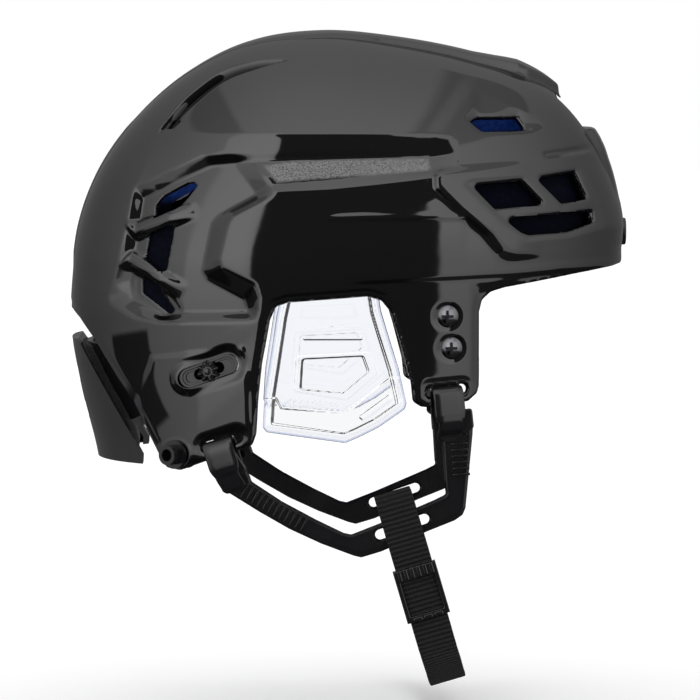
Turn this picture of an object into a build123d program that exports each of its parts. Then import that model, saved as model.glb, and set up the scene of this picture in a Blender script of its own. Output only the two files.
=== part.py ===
from build123d import *
from functools import lru_cache
import math
import os

# Ice hockey helmet for a medium head, in millimetres.
# +X is the front, -Y the wearer's right, +Z up, and the origin is the middle of the head cavity,
# level with the front of the brow edge.

# Overall sizes
HALF_LENGTH = 142.0
HALF_WIDTH = 102.0
CROWN_HEIGHT = 125.0
CENTRE_X = -12.0
WIDTH_EXPONENT = 2.5
WALL = 3.0
OVERRUN = 30.0

# Radius of the side profile, every 15 degrees from straight ahead and upwards
PROFILE_SHARES = (
    1.088, 1.11, 1.14, 1.13, 1.045, 1.0, 1.0, 1.0, 0.97, 0.94, 0.922, 0.91,
    0.908, 0.945, 1.005, 1.145, 1.51, 1.88, 1.96, 1.89, 1.69, 1.41, 1.22, 1.12,
)
# Points round each cross section, and where the sections stand, from the middle to the side
SECTION_STEPS = 48
SECTION_SHARES = (0.15, 0.3, 0.44, 0.59, 0.71, 0.8, 0.88, 0.94, 0.98, 0.998)

# Rim of the shell, in the side view
BROW_TIP_Z = 7.5
BROW_REAR_X = 74.0
BROW_REAR_Z = -4.0
TEMPLE_RADIUS = 10.0
FRONT_TAB_FRONT_X = 67.0
FRONT_TAB_REAR_X = 34.0
FRONT_TAB_LOW_Z = -62.0
FRONT_TAB_RISE = 5.0
TAB_RADIUS = 5.0
EAR_TOP_Z = -8.0
EAR_FRONT_X = 20.0
EAR_REAR_X = -38.0
EAR_RADIUS = 8.0
REAR_TAB_FRONT_X = -47.0
REAR_TAB_FRONT_Z = -82.0
REAR_TAB_REAR_X = -86.0
REAR_TAB_REAR_Z = -94.0
CORNER_X = -94.0
CORNER_Z = -90.0
NAPE_MIDDLE_X = -129.0
NAPE_MIDDLE_Z = -30.0
NAPE_TOP_X = -143.0
NAPE_TOP_Z = -15.0

# Vents, as outlines in the side view, in shares of the half length and the crown height
FRONT_UPPER_VENT_SHARES = (
    (0.451, 0.656), (0.486, 0.672), (0.606, 0.672), (0.634, 0.632), (0.5, 0.624),
)
FRONT_VENTS_SHARES = (
    ((0.479, 0.388), (0.613, 0.404), (0.669, 0.332), (0.542, 0.32)),
    ((0.683, 0.416), (0.81, 0.436), (0.845, 0.344), (0.761, 0.324)),
    ((0.585, 0.256), (0.768, 0.272), (0.761, 0.216), (0.648, 0.208)),
)
REAR_VENTS_SHARES = (
    ((-0.683, 0.312), (-0.662, 0.36), (-0.577, 0.408), (-0.556, 0.408), (-0.606, 0.312), (-0.669, 0.272)),
    ((-0.711, 0.192), (-0.634, 0.232), (-0.655, 0.064), (-0.669, 0.056), (-0.718, 0.104)),
    ((-0.732, 0.016), (-0.683, -0.016), (-0.623, -0.112), (-0.651, -0.116), (-0.732, -0.044)),
)
SCYTHE_VENTS_SHARES = (
    ((-0.627, 0.648), (-0.549, 0.744), (-0.535, 0.716), (-0.606, 0.636)),
    ((-0.486, 0.804), (-0.408, 0.856), (-0.331, 0.876), (-0.331, 0.856), (-0.408, 0.816), (-0.472, 0.776)),
)
VENT_RADIUS = 1.0
VENT_INNER_Y = 40.0

# Sling slots in the tabs, and the bars below them
SLOT_LENGTH = 20.6
SLOT_HEIGHT = 5.2
FRONT_SLOT_X = 50.0
FRONT_SLOT_Z = -53.5
FRONT_SLOT_SLOPE = 5.0
REAR_SLOT_X = -63.0
REAR_SLOT_Z = -79.5
REAR_SLOT_SLOPE = 18.0
BAR_HEIGHT = 4.6

# Temple screws and nuts; their places are shares of the front tab's width and drop
SCREW_PLACE_SHARES = ((0.485, 0.258), (0.545, 0.516))
SCREW_HEAD_RADIUS = 5.5
SCREW_HEAD_HEIGHT = 2.6
SCREW_SHANK_RADIUS = 2.4
SCREW_RECESS_WIDTH = 1.4
SCREW_RECESS_LENGTH = 6.0
SCREW_RECESS_DEPTH = 1.6
SEAT_DEPTH = 1.0
NUT_RADIUS = 6.0
NUT_HEIGHT = 3.0
FIT_GAP = 0.1
LOOSE_GAP = 0.3

# Liner and pads
LINER_THICKNESS = 17.0
PAD_THICKNESS = 6.0
LINER_SPLIT_X = 2.0
LINER_BROW_GAP = 5.0
LINER_EAR_Z = 9.0
LINER_TEMPLE_Z = -8.0
LINER_TEMPLE_X = 16.0
LINER_REAR_X = -42.0
LINER_NAPE_Z = -20.0
LINER_NAPE_X = -118.0
LINER_NAPE_RISE = 13.0
BROW_PAD_REAR_X = 62.0
BROW_PAD_LOW_Z = 15.0
BROW_PAD_TOP_Z = 42.0
SIDE_PAD_LOW_Z = 13.0
SIDE_PAD_TOP_Z = 46.0
TEMPLE_PAD_X = (16.0, 56.0)
SIDE_PAD_X = (-64.0, -8.0)
REAR_PAD_FRONT_X = -92.0
REAR_PAD_Z = (-4.0, 36.0)
REAR_PAD_HALF_WIDTH = 42.0
CROWN_PAD_X = (-52.0, 44.0)
CROWN_PAD_HALF_WIDTH = 26.0
CROWN_PAD_LOW_Z = 60.0
PAD_RADIUS = 6.0
JAW_PAD_MARGIN = 4.0
JAW_PAD_Z = (-43.0, -11.0)
JAW_PAD_THICKNESS = 9.0

# Clear ear guard; its places are shares of the ear opening's width and the rear tab's drop
GUARD_INSET = 3.6
GUARD_THICKNESS = 2.2
GUARD_OUTLINE_SHARES = (
    (0.121, -0.073), (0.897, -0.073), (0.948, 0.159), (1.017, 0.293), (1.164, 0.732), (1.147, 0.768),
    (0.759, 0.939), (0.638, 0.976), (0.328, 0.951), (-0.052, 0.909), (-0.086, 0.878), (0.034, 0.195),
)
GUARD_RADIUS = 1.5
PEG_PLACE_SHARES = ((0.276, 0.0), (0.759, 0.0))
PEG_RADIUS = 1.9
PEG_REACH = 6.2
WASHER_RADIUS = 4.8
WASHER_HEIGHT = 1.5

# Chin slings; their outline is in shares of the span between the bars and of the drop
SLING_DROP = 60.0
SLING_THICKNESS = 2.2
SLING_INSET = 3.7
SLING_OUTLINE_SHARES = (
    (-0.055, 0.17), (-0.05, 0.205), (-0.015, 0.34), (0.1, 0.565), (0.21, 0.765), (0.33, 0.94),
    (0.455, 1.1), (0.495, 1.135), (0.58, 1.12), (0.8, 1.035), (0.925, 1.0), (0.975, 0.94),
    (1.08, 0.34), (1.09, 0.17), (0.95, 0.17), (0.948, 0.275), (0.908, 0.755), (0.616, 0.88),
    (0.468, 0.917), (0.437, 0.886), (0.33, 0.72), (0.205, 0.51), (0.1, 0.275), (0.085, 0.17),
)
STRAP_SLOT_ALONG_SHARE = 0.687
STRAP_SLOT_DOWN_SHARE = 0.955
STRAP_SLOT_LENGTH = 30.0
STRAP_SLOT_HEIGHT = 5.0
STRAP_SLOT_SLOPE = 22.0
HOOK_WIDTH = 15.8
HOOK_SIDE_GAP = 3.0
HOOK_TOP_GAP = 1.1
HOOK_THICKNESS = 2.2
HOOK_TAIL = 9.0
HOOK_LOCK = 10.0
HOOK_LOCK_INNER = 8.0
RIB_PLACE_SHARES = (0.42, 0.5, 0.58, 0.66, 0.74)
RIB_ALONG_SHARE = 1.01
RIB_LEAN_SHARE = 0.02
RIB_LENGTH = 8.0
RIB_SIZE = 0.8

# Chin strap and its slider
STRAP_WIDTH = 19.0
STRAP_THICKNESS = 1.6
STRAP_PLY = 3.4
STRAP_LEAN = 16.4
STRAP_SIDE_GAP = 2.0
STRAP_BACK_GAP = 1.6
STRAP_LOOP_RISE = 18.0
STRAP_STRAIGHT = 52.0
STRAP_SAG = 39.0
STRAP_LEFT_LOOP_DROP = 12.0
STRAP_LEFT_PLY_DROP = 28.0
STRAP_STEPS = 20
SLIDER_TOP = 20.0
SLIDER_LENGTH = 29.0
SLIDER_WIDTH = 22.4
SLIDER_WALL = 1.6
SLIDER_WINDOW_LENGTH = 10.0
SLIDER_WINDOW_WIDTH = 16.0
SLIDER_WINDOW_DROP = 9.0

# Occipital adjuster
ADJUSTER_X = -69.5
ADJUSTER_Z = -43.5
ADJUSTER_SLOPE = 20.0
ADJUSTER_TURN = 10.0
ADJUSTER_TRAVEL = 5.0
TRACK_LENGTH = 31.0
TRACK_WIDTH = 10.0
TRACK_THICKNESS = 6.0
TRACK_PROUD = 0.8
KNOB_CLEARANCE = 1.3
KNOB_HEIGHT = 3.2
KNOB_LOBES = 8
KNOB_LOBE_RADIUS = 1.5
KNOB_PLACE = 4.0
SHAFT_RADIUS = 2.2
SHAFT_LENGTH = 17.0
SLOT_CLEARANCE = 0.5
ARM_INSET = 8.5
ARM_THICKNESS = 3.0
ADJUSTER_NUT_RADIUS = 5.0
ADJUSTER_NUT_HEIGHT = 2.5
ADJUSTER_NUT_GAP = 1.5

# Cradle behind the head; its outlines are shares of the nape's and the corner's places
CRADLE_INSET = 0.5
CRADLE_SKIN = 3.0
CRADLE_RIM = 3.0
CRADLE_OUTLINE_SHARES = (
    (1.062, 0.344), (0.961, 0.589), (0.798, 0.978), (0.806, 1.222),
)
ARM_OUTLINE_SHARES = (
    (0.589, 0.367), (0.442, 0.389), (0.442, 0.556), (0.589, 0.6), (0.868, 0.8),
)
CRADLE_FLOOR_Z = -92.0
CRADLE_WINDOW_SHARES = ((0.137, 0.556), (0.137, 0.756))
CRADLE_WINDOW_HEIGHT = 8.0
CRADLE_WINDOW_WIDTH = 18.0
NAPE_PAD_THICKNESS = 12.0

# Hollow studs at the lower rear corners
STUD_X = -86.0
STUD_Z = -86.0
STUD_SIDE = 0.8
STUD_BACK = 0.6
STUD_BORE_RADIUS = 3.1
STUD_RADIUS = 5.0
STUD_FLANGE_RADIUS = 7.2
STUD_FLANGE_THICKNESS = 1.8
STUD_PROUD = 8.0
STUD_INNER = 9.0
BOSS_RADIUS = 8.0
BOSS_PROUD = 0.8
BOSS_INNER = 5.5
STUD_NUT_RADIUS = 7.5
STUD_NUT_HEIGHT = 2.8

# Button in the middle of the brow
BUMPER_Z = 22.7
BUMPER_RADIUS = 7.0
BUMPER_HEIGHT = 3.0
BUMPER_PEG_RADIUS = 2.5
BUMPER_PEG_LENGTH = 9.0
BUMPER_NUT_RADIUS = 5.0
BUMPER_NUT_HEIGHT = 1.6
BUMPER_NUT_GAP = 1.5

# Spine along the crown, as an outline seen from above, in shares of the half length and half width
SPINE_PROUD = 3.2
SPINE_OUTLINE_SHARES = ((-0.324, 0.049), (-0.07, 0.127), (0.423, 0.186), (0.732, 0.167), (0.775, 0.078))


def profile_share(angle):
    """Radius share of the side profile at an angle in radians, on a smooth curve."""
    place = angle / (2 * math.pi) % 1 * len(PROFILE_SHARES)
    first = int(place)
    u = place - first
    before, start, end, after = (PROFILE_SHARES[(first + k) % len(PROFILE_SHARES)] for k in (-1, 0, 1, 2))
    rise, fall = (end - before) / 2, (after - start) / 2
    blend = 2 * u**3 - 3 * u**2
    return start * (1 + blend) + rise * (u**3 - 2 * u**2 + u) - end * blend + fall * (u**3 - u**2)


def half_width(x, z, inset=0.0):
    """Half width of the helmet's form at a point of the side view."""
    u = (x - CENTRE_X) / (HALF_LENGTH - inset)
    v = z / (CROWN_HEIGHT - inset)
    reach = min(math.hypot(u, v) / profile_share(math.atan2(v, u)), 1.0)
    return (HALF_WIDTH - inset) * (1 - reach**WIDTH_EXPONENT) ** (1 / WIDTH_EXPONENT)


def section(y, inset):
    """Closed outline of the form at one place across the helmet, from its lowest point round."""
    scale = (1 - abs(y / (HALF_WIDTH - inset)) ** WIDTH_EXPONENT) ** (1 / WIDTH_EXPONENT)
    points = []
    for step in range(SECTION_STEPS):
        angle = 2 * math.pi * step / SECTION_STEPS - math.pi / 2
        radius = profile_share(angle) * scale
        x = CENTRE_X + (HALF_LENGTH - inset) * radius * math.cos(angle)
        points.append(Vector(x, y, (CROWN_HEIGHT - inset) * radius * math.sin(angle)))
    return Wire([Edge.make_spline(points, periodic=True)])


@lru_cache(maxsize=None)
def form(inset):
    """Solid form of the helmet, shrunk all round by the inset."""
    shares = [-s for s in reversed(SECTION_SHARES)] + [0.0] + list(SECTION_SHARES)
    return Solid.make_loft([section(share * (HALF_WIDTH - inset), inset) for share in shares])


def side_block(points, radius=0.0, low_y=None, high_y=None):
    """Block whose outline is given in the side view, between two places across the helmet."""
    low_y = -HALF_WIDTH - OVERRUN if low_y is None else low_y
    high_y = HALF_WIDTH + OVERRUN if high_y is None else high_y
    corners = [(x, low_y, z) for x, z in points]
    if radius:
        outline = Wire(FilletPolyline(*corners, radius=radius, close=True).edges())
    else:
        outline = Wire.make_polygon(corners, close=True)
    return Solid.extrude(Face(outline), Vector(0, high_y - low_y, 0))


def plan_block(points, low_z, high_z):
    """Block whose outline is given in the view from above."""
    outline = Wire.make_polygon([(x, y, low_z) for x, y in points], close=True)
    return Solid.extrude(Face(outline), Vector(0, 0, high_z - low_z))


def rectangle(x_range, z_range):
    """Corners of a rectangle in the side view."""
    return ((x_range[0], z_range[0]), (x_range[1], z_range[0]), (x_range[1], z_range[1]), (x_range[0], z_range[1]))


def screw_places():
    """Places of the temple screws in the side view."""
    width = FRONT_TAB_FRONT_X - FRONT_TAB_REAR_X
    return [(FRONT_TAB_REAR_X + x * width, z * FRONT_TAB_LOW_Z) for x, z in SCREW_PLACE_SHARES]


def ear_places(shares):
    """Places in the ear opening, in the side view."""
    width = EAR_FRONT_X - EAR_REAR_X
    return [(EAR_REAR_X + x * width, z * REAR_TAB_FRONT_Z) for x, z in shares]


def nape_places(shares):
    """Outline at the nape, in the side view, open to the rear past the shell."""
    places = [(x * NAPE_MIDDLE_X, z * CORNER_Z) for x, z in shares]
    rear = -HALF_LENGTH - OVERRUN
    return [(rear, places[0][1])] + places + [(rear, places[-1][1])]


def left_of(shape):
    """The same piece for the wearer's left."""
    return mirror(shape, about=Plane.XZ)


def rod(centre, direction, radius, start, end):
    """Round bar along a direction, from start to end past the centre."""
    plane = Plane(origin=centre + direction * start, z_dir=direction)
    return plane.location * Cylinder(radius, end - start, align=(Align.CENTER, Align.CENTER, Align.MIN))


def layer(outer_inset, inner_inset, block):
    """The stretch of a layer between two forms that lies in a block."""
    return (form(outer_inset) & block) - form(inner_inset)


def rim_block():
    """Everything above the shell's rim."""
    low_front = FRONT_TAB_LOW_Z + FRONT_TAB_RISE
    slope = (BROW_TIP_Z - BROW_REAR_Z) / (HALF_LENGTH - BROW_REAR_X)
    front_z = BROW_REAR_Z + slope * (HALF_LENGTH + OVERRUN - BROW_REAR_X)
    corners = [
        ((HALF_LENGTH + OVERRUN, front_z), 0.0),
        ((BROW_REAR_X, BROW_REAR_Z), TEMPLE_RADIUS / 3),
        ((FRONT_TAB_FRONT_X, BROW_REAR_Z - TEMPLE_RADIUS), TEMPLE_RADIUS),
        ((FRONT_TAB_FRONT_X, low_front), TAB_RADIUS),
        ((FRONT_TAB_REAR_X, FRONT_TAB_LOW_Z), TAB_RADIUS),
        ((EAR_FRONT_X, EAR_TOP_Z), EAR_RADIUS),
        ((EAR_REAR_X, EAR_TOP_Z), EAR_RADIUS),
        ((REAR_TAB_FRONT_X, REAR_TAB_FRONT_Z), TAB_RADIUS),
        ((REAR_TAB_REAR_X, REAR_TAB_REAR_Z), TAB_RADIUS),
        ((CORNER_X, CORNER_Z), TAB_RADIUS / 2),
        ((NAPE_MIDDLE_X, NAPE_MIDDLE_Z), TAB_RADIUS),
        ((NAPE_TOP_X, NAPE_TOP_Z), TAB_RADIUS),
        ((NAPE_TOP_X - OVERRUN, NAPE_TOP_Z), 0.0),
        ((NAPE_TOP_X - OVERRUN, CROWN_HEIGHT + OVERRUN), 0.0),
        ((HALF_LENGTH + OVERRUN, CROWN_HEIGHT + OVERRUN), 0.0),
    ]
    points = [(x, -HALF_WIDTH - OVERRUN, z) for (x, z), _ in corners]
    outline = Wire(FilletPolyline(*points, radius=[r for _, r in corners], close=True).edges())
    return Solid.extrude(Face(outline), Vector(0, 2 * (HALF_WIDTH + OVERRUN), 0))


def slot_block(x, z, length, height, slope):
    """Long hole with round ends, across the helmet."""
    angle = math.radians(slope)
    reach = (length - height) / 2
    width = 2 * (HALF_WIDTH + OVERRUN)
    body = Pos(x, 0, z) * Rot(0, -slope, 0) * Box(2 * reach, width, height)
    for way in (-1, 1):
        end = Vector(x + way * reach * math.cos(angle), 0, z + way * reach * math.sin(angle))
        body += rod(end, Vector(0, 1, 0), height / 2, -width / 2, width / 2)
    return body


def vent_blocks(inner_y):
    """Cutters of every vent, outside a half width."""
    cutters = []
    for outline in (FRONT_UPPER_VENT_SHARES,) + FRONT_VENTS_SHARES + REAR_VENTS_SHARES + SCYTHE_VENTS_SHARES:
        points = [(x * HALF_LENGTH, z * CROWN_HEIGHT) for x, z in outline]
        cutters.append(side_block(points, VENT_RADIUS, -HALF_WIDTH - OVERRUN, -inner_y))
        cutters.append(side_block(points, VENT_RADIUS, inner_y, HALF_WIDTH + OVERRUN))
    return cutters


def stud_place(side):
    """Where a rear stud sits on the surface, and the way it points."""
    centre = Vector(STUD_X, side * half_width(STUD_X, STUD_Z), STUD_Z)
    return centre, Vector(-STUD_BACK, side * STUD_SIDE, 0)


def adjuster_plane():
    """Plane of the right adjuster: x along the slot, z out of the shell."""
    turn, slope = math.radians(ADJUSTER_TURN), math.radians(ADJUSTER_SLOPE)
    out = Vector(-math.sin(turn), -math.cos(turn), 0)
    along = Vector(math.cos(slope), 0, math.sin(slope))
    along = (along - out * along.dot(out)).normalized()
    centre = Vector(ADJUSTER_X, -half_width(ADJUSTER_X, ADJUSTER_Z), ADJUSTER_Z)
    return Plane(origin=centre, x_dir=along, z_dir=out)


def oval(plane, length, width, low, high):
    """Oval block on a plane, from low to high along its normal."""
    sketch = SlotOverall(length, width) if length > width else Circle(width / 2)
    return plane.location * Pos(0, 0, low) * extrude(sketch, high - low)


def outer_shell():
    """One-piece shell with its vents, slots, holes, bosses and pegs."""
    shell = layer(0.0, WALL, rim_block())
    added = []
    cutters = vent_blocks(VENT_INNER_Y)
    cutters.append(slot_block(FRONT_SLOT_X, FRONT_SLOT_Z, SLOT_LENGTH, SLOT_HEIGHT, FRONT_SLOT_SLOPE))
    cutters.append(slot_block(REAR_SLOT_X, REAR_SLOT_Z, SLOT_LENGTH, SLOT_HEIGHT, REAR_SLOT_SLOPE))
    for side in (-1, 1):
        across = Vector(0, side, 0)
        for x, z in screw_places():
            centre = Vector(x, 0, z)
            seat = half_width(x, z) - SEAT_DEPTH
            cutters.append(rod(centre, across, SCREW_SHANK_RADIUS + LOOSE_GAP, 0, HALF_WIDTH + OVERRUN))
            cutters.append(rod(centre, across, SCREW_HEAD_RADIUS + LOOSE_GAP, seat, HALF_WIDTH + OVERRUN))
        for x, z in ear_places(PEG_PLACE_SHARES):
            inner = half_width(x, z, WALL)
            added.append(rod(Vector(x, 0, z), across, PEG_RADIUS, inner - PEG_REACH, inner + WALL / 2))
        centre, out = stud_place(side)
        added.append(rod(centre, out, BOSS_RADIUS, -BOSS_INNER, BOSS_PROUD))
        cutters.append(rod(centre, out, STUD_RADIUS + LOOSE_GAP, -STUD_INNER, BOSS_PROUD + OVERRUN))
    track = oval(adjuster_plane(), TRACK_LENGTH + 2 * LOOSE_GAP, TRACK_WIDTH + 2 * LOOSE_GAP,
                 -TRACK_THICKNESS - WALL, TRACK_THICKNESS)
    cutters += [track, left_of(track)]
    cutters.append(rod(Vector(0, 0, BUMPER_Z), Vector(1, 0, 0), BUMPER_PEG_RADIUS + FIT_GAP, 0,
                       HALF_LENGTH + OVERRUN))
    return shell.fuse(*added).cut(*cutters)


def crown_spine():
    """Raised spine seated along the crown."""
    half = [(x * HALF_LENGTH, y * HALF_WIDTH) for x, y in SPINE_OUTLINE_SHARES]
    outline = half + [(x, -y) for x, y in reversed(half)]
    block = plan_block(outline, CROWN_HEIGHT / 2, CROWN_HEIGHT + OVERRUN)
    return layer(-SPINE_PROUD, -LOOSE_GAP, block)


def front_liner():
    """Front half of the foam liner."""
    outline = (
        (HALF_LENGTH + OVERRUN, BROW_TIP_Z + LINER_BROW_GAP),
        (HALF_LENGTH, BROW_TIP_Z + LINER_BROW_GAP),
        (BROW_REAR_X, BROW_REAR_Z + LINER_BROW_GAP),
        (FRONT_TAB_FRONT_X - LINER_BROW_GAP, LINER_TEMPLE_Z),
        (LINER_TEMPLE_X + LINER_BROW_GAP, LINER_TEMPLE_Z),
        (LINER_TEMPLE_X, LINER_EAR_Z),
        (LINER_SPLIT_X, LINER_EAR_Z),
        (LINER_SPLIT_X, CROWN_HEIGHT + OVERRUN),
        (HALF_LENGTH + OVERRUN, CROWN_HEIGHT + OVERRUN),
    )
    liner = layer(WALL + LOOSE_GAP, WALL + LOOSE_GAP + LINER_THICKNESS, side_block(outline))
    pocket = rod(Vector(0, 0, BUMPER_Z), Vector(1, 0, 0), BUMPER_NUT_RADIUS + LOOSE_GAP,
                 bumper_seat() - BUMPER_PEG_LENGTH - LOOSE_GAP, HALF_LENGTH + OVERRUN)
    return liner.cut(pocket, *vent_blocks(VENT_INNER_Y))


def rear_liner():
    """Rear half of the foam liner."""
    outline = (
        (LINER_SPLIT_X - LOOSE_GAP, LINER_EAR_Z),
        (LINER_SPLIT_X - LOOSE_GAP, CROWN_HEIGHT + OVERRUN),
        (-HALF_LENGTH - OVERRUN, CROWN_HEIGHT + OVERRUN),
        (-HALF_LENGTH - OVERRUN, LINER_NAPE_Z + LINER_NAPE_RISE),
        (LINER_NAPE_X - LINER_NAPE_RISE, LINER_NAPE_Z + LINER_NAPE_RISE),
        (LINER_NAPE_X, LINER_NAPE_Z),
        (LINER_REAR_X, LINER_NAPE_Z),
        (LINER_REAR_X + LINER_BROW_GAP, LINER_EAR_Z),
    )
    liner = layer(WALL + LOOSE_GAP, WALL + LOOSE_GAP + LINER_THICKNESS, side_block(outline))
    return liner.cut(*vent_blocks(VENT_INNER_Y))


def comfort_pad(block):
    """Thin pad on the inside of the liner, within a block."""
    outer = WALL + LOOSE_GAP + LINER_THICKNESS + LOOSE_GAP
    return layer(outer, outer + PAD_THICKNESS, block)


def brow_pad():
    """Pad across the forehead."""
    x_range = (BROW_PAD_REAR_X, HALF_LENGTH + OVERRUN)
    return comfort_pad(side_block(rectangle(x_range, (BROW_PAD_LOW_Z, BROW_PAD_TOP_Z))))


def rear_pad():
    """Pad at the back of the liner."""
    points = rectangle((-HALF_LENGTH - OVERRUN, REAR_PAD_FRONT_X), REAR_PAD_Z)
    return comfort_pad(side_block(points, 0.0, -REAR_PAD_HALF_WIDTH, REAR_PAD_HALF_WIDTH))


def crown_pad():
    """Pad under the crown."""
    points = rectangle(CROWN_PAD_X, (CROWN_PAD_LOW_Z, CROWN_HEIGHT))
    return comfort_pad(side_block(points, 0.0, -CROWN_PAD_HALF_WIDTH, CROWN_PAD_HALF_WIDTH))


def side_comfort_pad(x_range):
    """Pad on the right side of the head, within a range along the helmet."""
    points = rectangle(x_range, (SIDE_PAD_LOW_Z, SIDE_PAD_TOP_Z))
    return comfort_pad(side_block(points, PAD_RADIUS, -HALF_WIDTH, 0.0))


def jaw_pad():
    """Pad inside the right front tab, over the nuts."""
    outer = WALL + NUT_HEIGHT + SEAT_DEPTH + 4 * LOOSE_GAP
    x_range = (FRONT_TAB_REAR_X + JAW_PAD_MARGIN, FRONT_TAB_FRONT_X - JAW_PAD_MARGIN)
    block = side_block(rectangle(x_range, JAW_PAD_Z), PAD_RADIUS, -HALF_WIDTH, 0.0)
    return layer(outer, outer + JAW_PAD_THICKNESS, block)


def ear_guard():
    """Clear guard in the right ear opening, its flange behind the shell."""
    block = side_block(ear_places(GUARD_OUTLINE_SHARES), GUARD_RADIUS, -HALF_WIDTH - OVERRUN, 0.0)
    guard = layer(GUARD_INSET, GUARD_INSET + GUARD_THICKNESS, block)
    for x, z in ear_places(PEG_PLACE_SHARES):
        guard -= rod(Vector(x, 0, z), Vector(0, -1, 0), PEG_RADIUS + LOOSE_GAP, 0, HALF_WIDTH + OVERRUN)
    return guard


def guard_washers():
    """Push-on washers that hold both ear guards on the shell's pegs."""
    washers = []
    for side in (-1, 1):
        for x, z in ear_places(PEG_PLACE_SHARES):
            outer = half_width(x, z, GUARD_INSET + GUARD_THICKNESS) - LOOSE_GAP
            centre, across = Vector(x, 0, z), Vector(0, side, 0)
            ring = rod(centre, across, WASHER_RADIUS, outer - WASHER_HEIGHT, outer)
            washers.append(ring - rod(centre, across, PEG_RADIUS + FIT_GAP, 0, HALF_WIDTH))
    return washers


def temple_screws():
    """Domed cross-recess screws, two in each front tab."""
    screws = []
    for side in (-1, 1):
        for x, z in screw_places():
            centre, across = Vector(x, 0, z), Vector(0, side, 0)
            seat = half_width(x, z) - SEAT_DEPTH
            top = seat + SCREW_HEAD_HEIGHT
            ball = (SCREW_HEAD_RADIUS**2 + SCREW_HEAD_HEIGHT**2) / (2 * SCREW_HEAD_HEIGHT)
            dome = Pos(centre + across * (top - ball)) * Sphere(ball)
            head = rod(centre, across, SCREW_HEAD_RADIUS, seat, top) & dome
            low = half_width(x, z, WALL) - SEAT_DEPTH - LOOSE_GAP - NUT_HEIGHT
            screw = head + rod(centre, across, SCREW_SHANK_RADIUS, low, seat + FIT_GAP)
            for turn in (0, 90):
                slot = Box(SCREW_RECESS_LENGTH, 2 * SCREW_RECESS_DEPTH, SCREW_RECESS_WIDTH)
                screw -= Pos(centre + across * top) * Rot(0, turn, 0) * slot
            screws.append(screw)
    return screws


def temple_nuts():
    """Nuts of the temple screws, inside the front tabs."""
    nuts = []
    for side in (-1, 1):
        for x, z in screw_places():
            centre, across = Vector(x, 0, z), Vector(0, side, 0)
            outer = half_width(x, z, WALL) - SEAT_DEPTH - LOOSE_GAP
            ring = rod(centre, across, NUT_RADIUS, outer - NUT_HEIGHT, outer)
            nuts.append(ring - rod(centre, across, SCREW_SHANK_RADIUS + FIT_GAP, 0, HALF_WIDTH))
    return nuts


def bar_place(x, z, slope):
    """Middle of the bar below a right sling slot, in the thickness of the wall."""
    low = z - (SLOT_HEIGHT + BAR_HEIGHT) / 2 / math.cos(math.radians(slope))
    return Vector(x, -half_width(x, low) + WALL / 2, low)


def sling_frame():
    """Rear bar, the way to the front bar, the way down, and the span between the bars."""
    rear = bar_place(REAR_SLOT_X, REAR_SLOT_Z, REAR_SLOT_SLOPE)
    front = bar_place(FRONT_SLOT_X, FRONT_SLOT_Z, FRONT_SLOT_SLOPE)
    span = math.hypot(front.X - rear.X, front.Z - rear.Z)
    along = ((front.X - rear.X) / span, (front.Z - rear.Z) / span)
    return rear, front, along, span


def sling_point(along_share, down_share):
    """Point of the sling in the side view."""
    rear, _, along, span = sling_frame()
    reach, drop = along_share * span, down_share * SLING_DROP
    return rear.X + along[0] * reach + along[1] * drop, rear.Z + along[1] * reach - along[0] * drop


def sling_outer_y():
    """Half width of the sling plate's outer face."""
    rear, front, _, _ = sling_frame()
    return -(rear.Y + front.Y) / 2 - SLING_INSET


def hook(x, z, slope):
    """End of a right sling arm: a closed loop round the bar below the slot."""
    centre = bar_place(x, z, slope)
    angle = math.radians(slope)
    step = HOOK_WIDTH / 2
    turn = half_width(x + step, centre.Z) - half_width(x - step, centre.Z)
    along = Vector(math.cos(angle) * HOOK_WIDTH, -turn, math.sin(angle) * HOOK_WIDTH).normalized()
    out = (Vector(0, -1, 0) - along * Vector(0, -1, 0).dot(along)).normalized()
    up = out.cross(along)
    gap = WALL / 2 + HOOK_SIDE_GAP / 2
    top = BAR_HEIGHT / 2 + HOOK_TOP_GAP
    lock = HOOK_TAIL + HOOK_LOCK
    thick = HOOK_THICKNESS
    outer = ((-lock, -HOOK_LOCK_INNER), (-HOOK_TAIL, -HOOK_LOCK_INNER), (-HOOK_TAIL + gap, -gap - thick),
             (top + thick, -gap - thick), (top + thick, gap + thick), (-HOOK_TAIL, gap + thick), (-lock, 0.0))
    inner = ((-HOOK_TAIL, -gap), (top, -gap), (top, gap), (-HOOK_TAIL + thick, gap))
    solids = []
    for section_points in (outer, inner):
        places = [centre - along * step + up * v + out * w for v, w in section_points]
        solids.append(Solid.extrude(Face(Wire.make_polygon(places, close=True)), along * (2 * step)))
    return solids[0] - solids[1]


def sling():
    """Right chin sling: a plate that loops round both bars, with its strap slot and ladder ribs."""
    outer_y = sling_outer_y()
    points = [sling_point(a, b) for a, b in SLING_OUTLINE_SHARES]
    body = side_block(points, 0.0, -outer_y, SLING_THICKNESS - outer_y)
    body += hook(FRONT_SLOT_X, FRONT_SLOT_Z, FRONT_SLOT_SLOPE)
    body += hook(REAR_SLOT_X, REAR_SLOT_Z, REAR_SLOT_SLOPE)
    x, z = sling_point(STRAP_SLOT_ALONG_SHARE, STRAP_SLOT_DOWN_SHARE)
    body -= slot_block(x, z, STRAP_SLOT_LENGTH, STRAP_SLOT_HEIGHT, STRAP_SLOT_SLOPE)
    for share in RIB_PLACE_SHARES:
        x, z = sling_point(RIB_ALONG_SHARE - share * RIB_LEAN_SHARE, share)
        rib = Box(RIB_LENGTH, 2 * RIB_SIZE, RIB_SIZE)
        body += Pos(x, -outer_y, z) * rib
    return body


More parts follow.
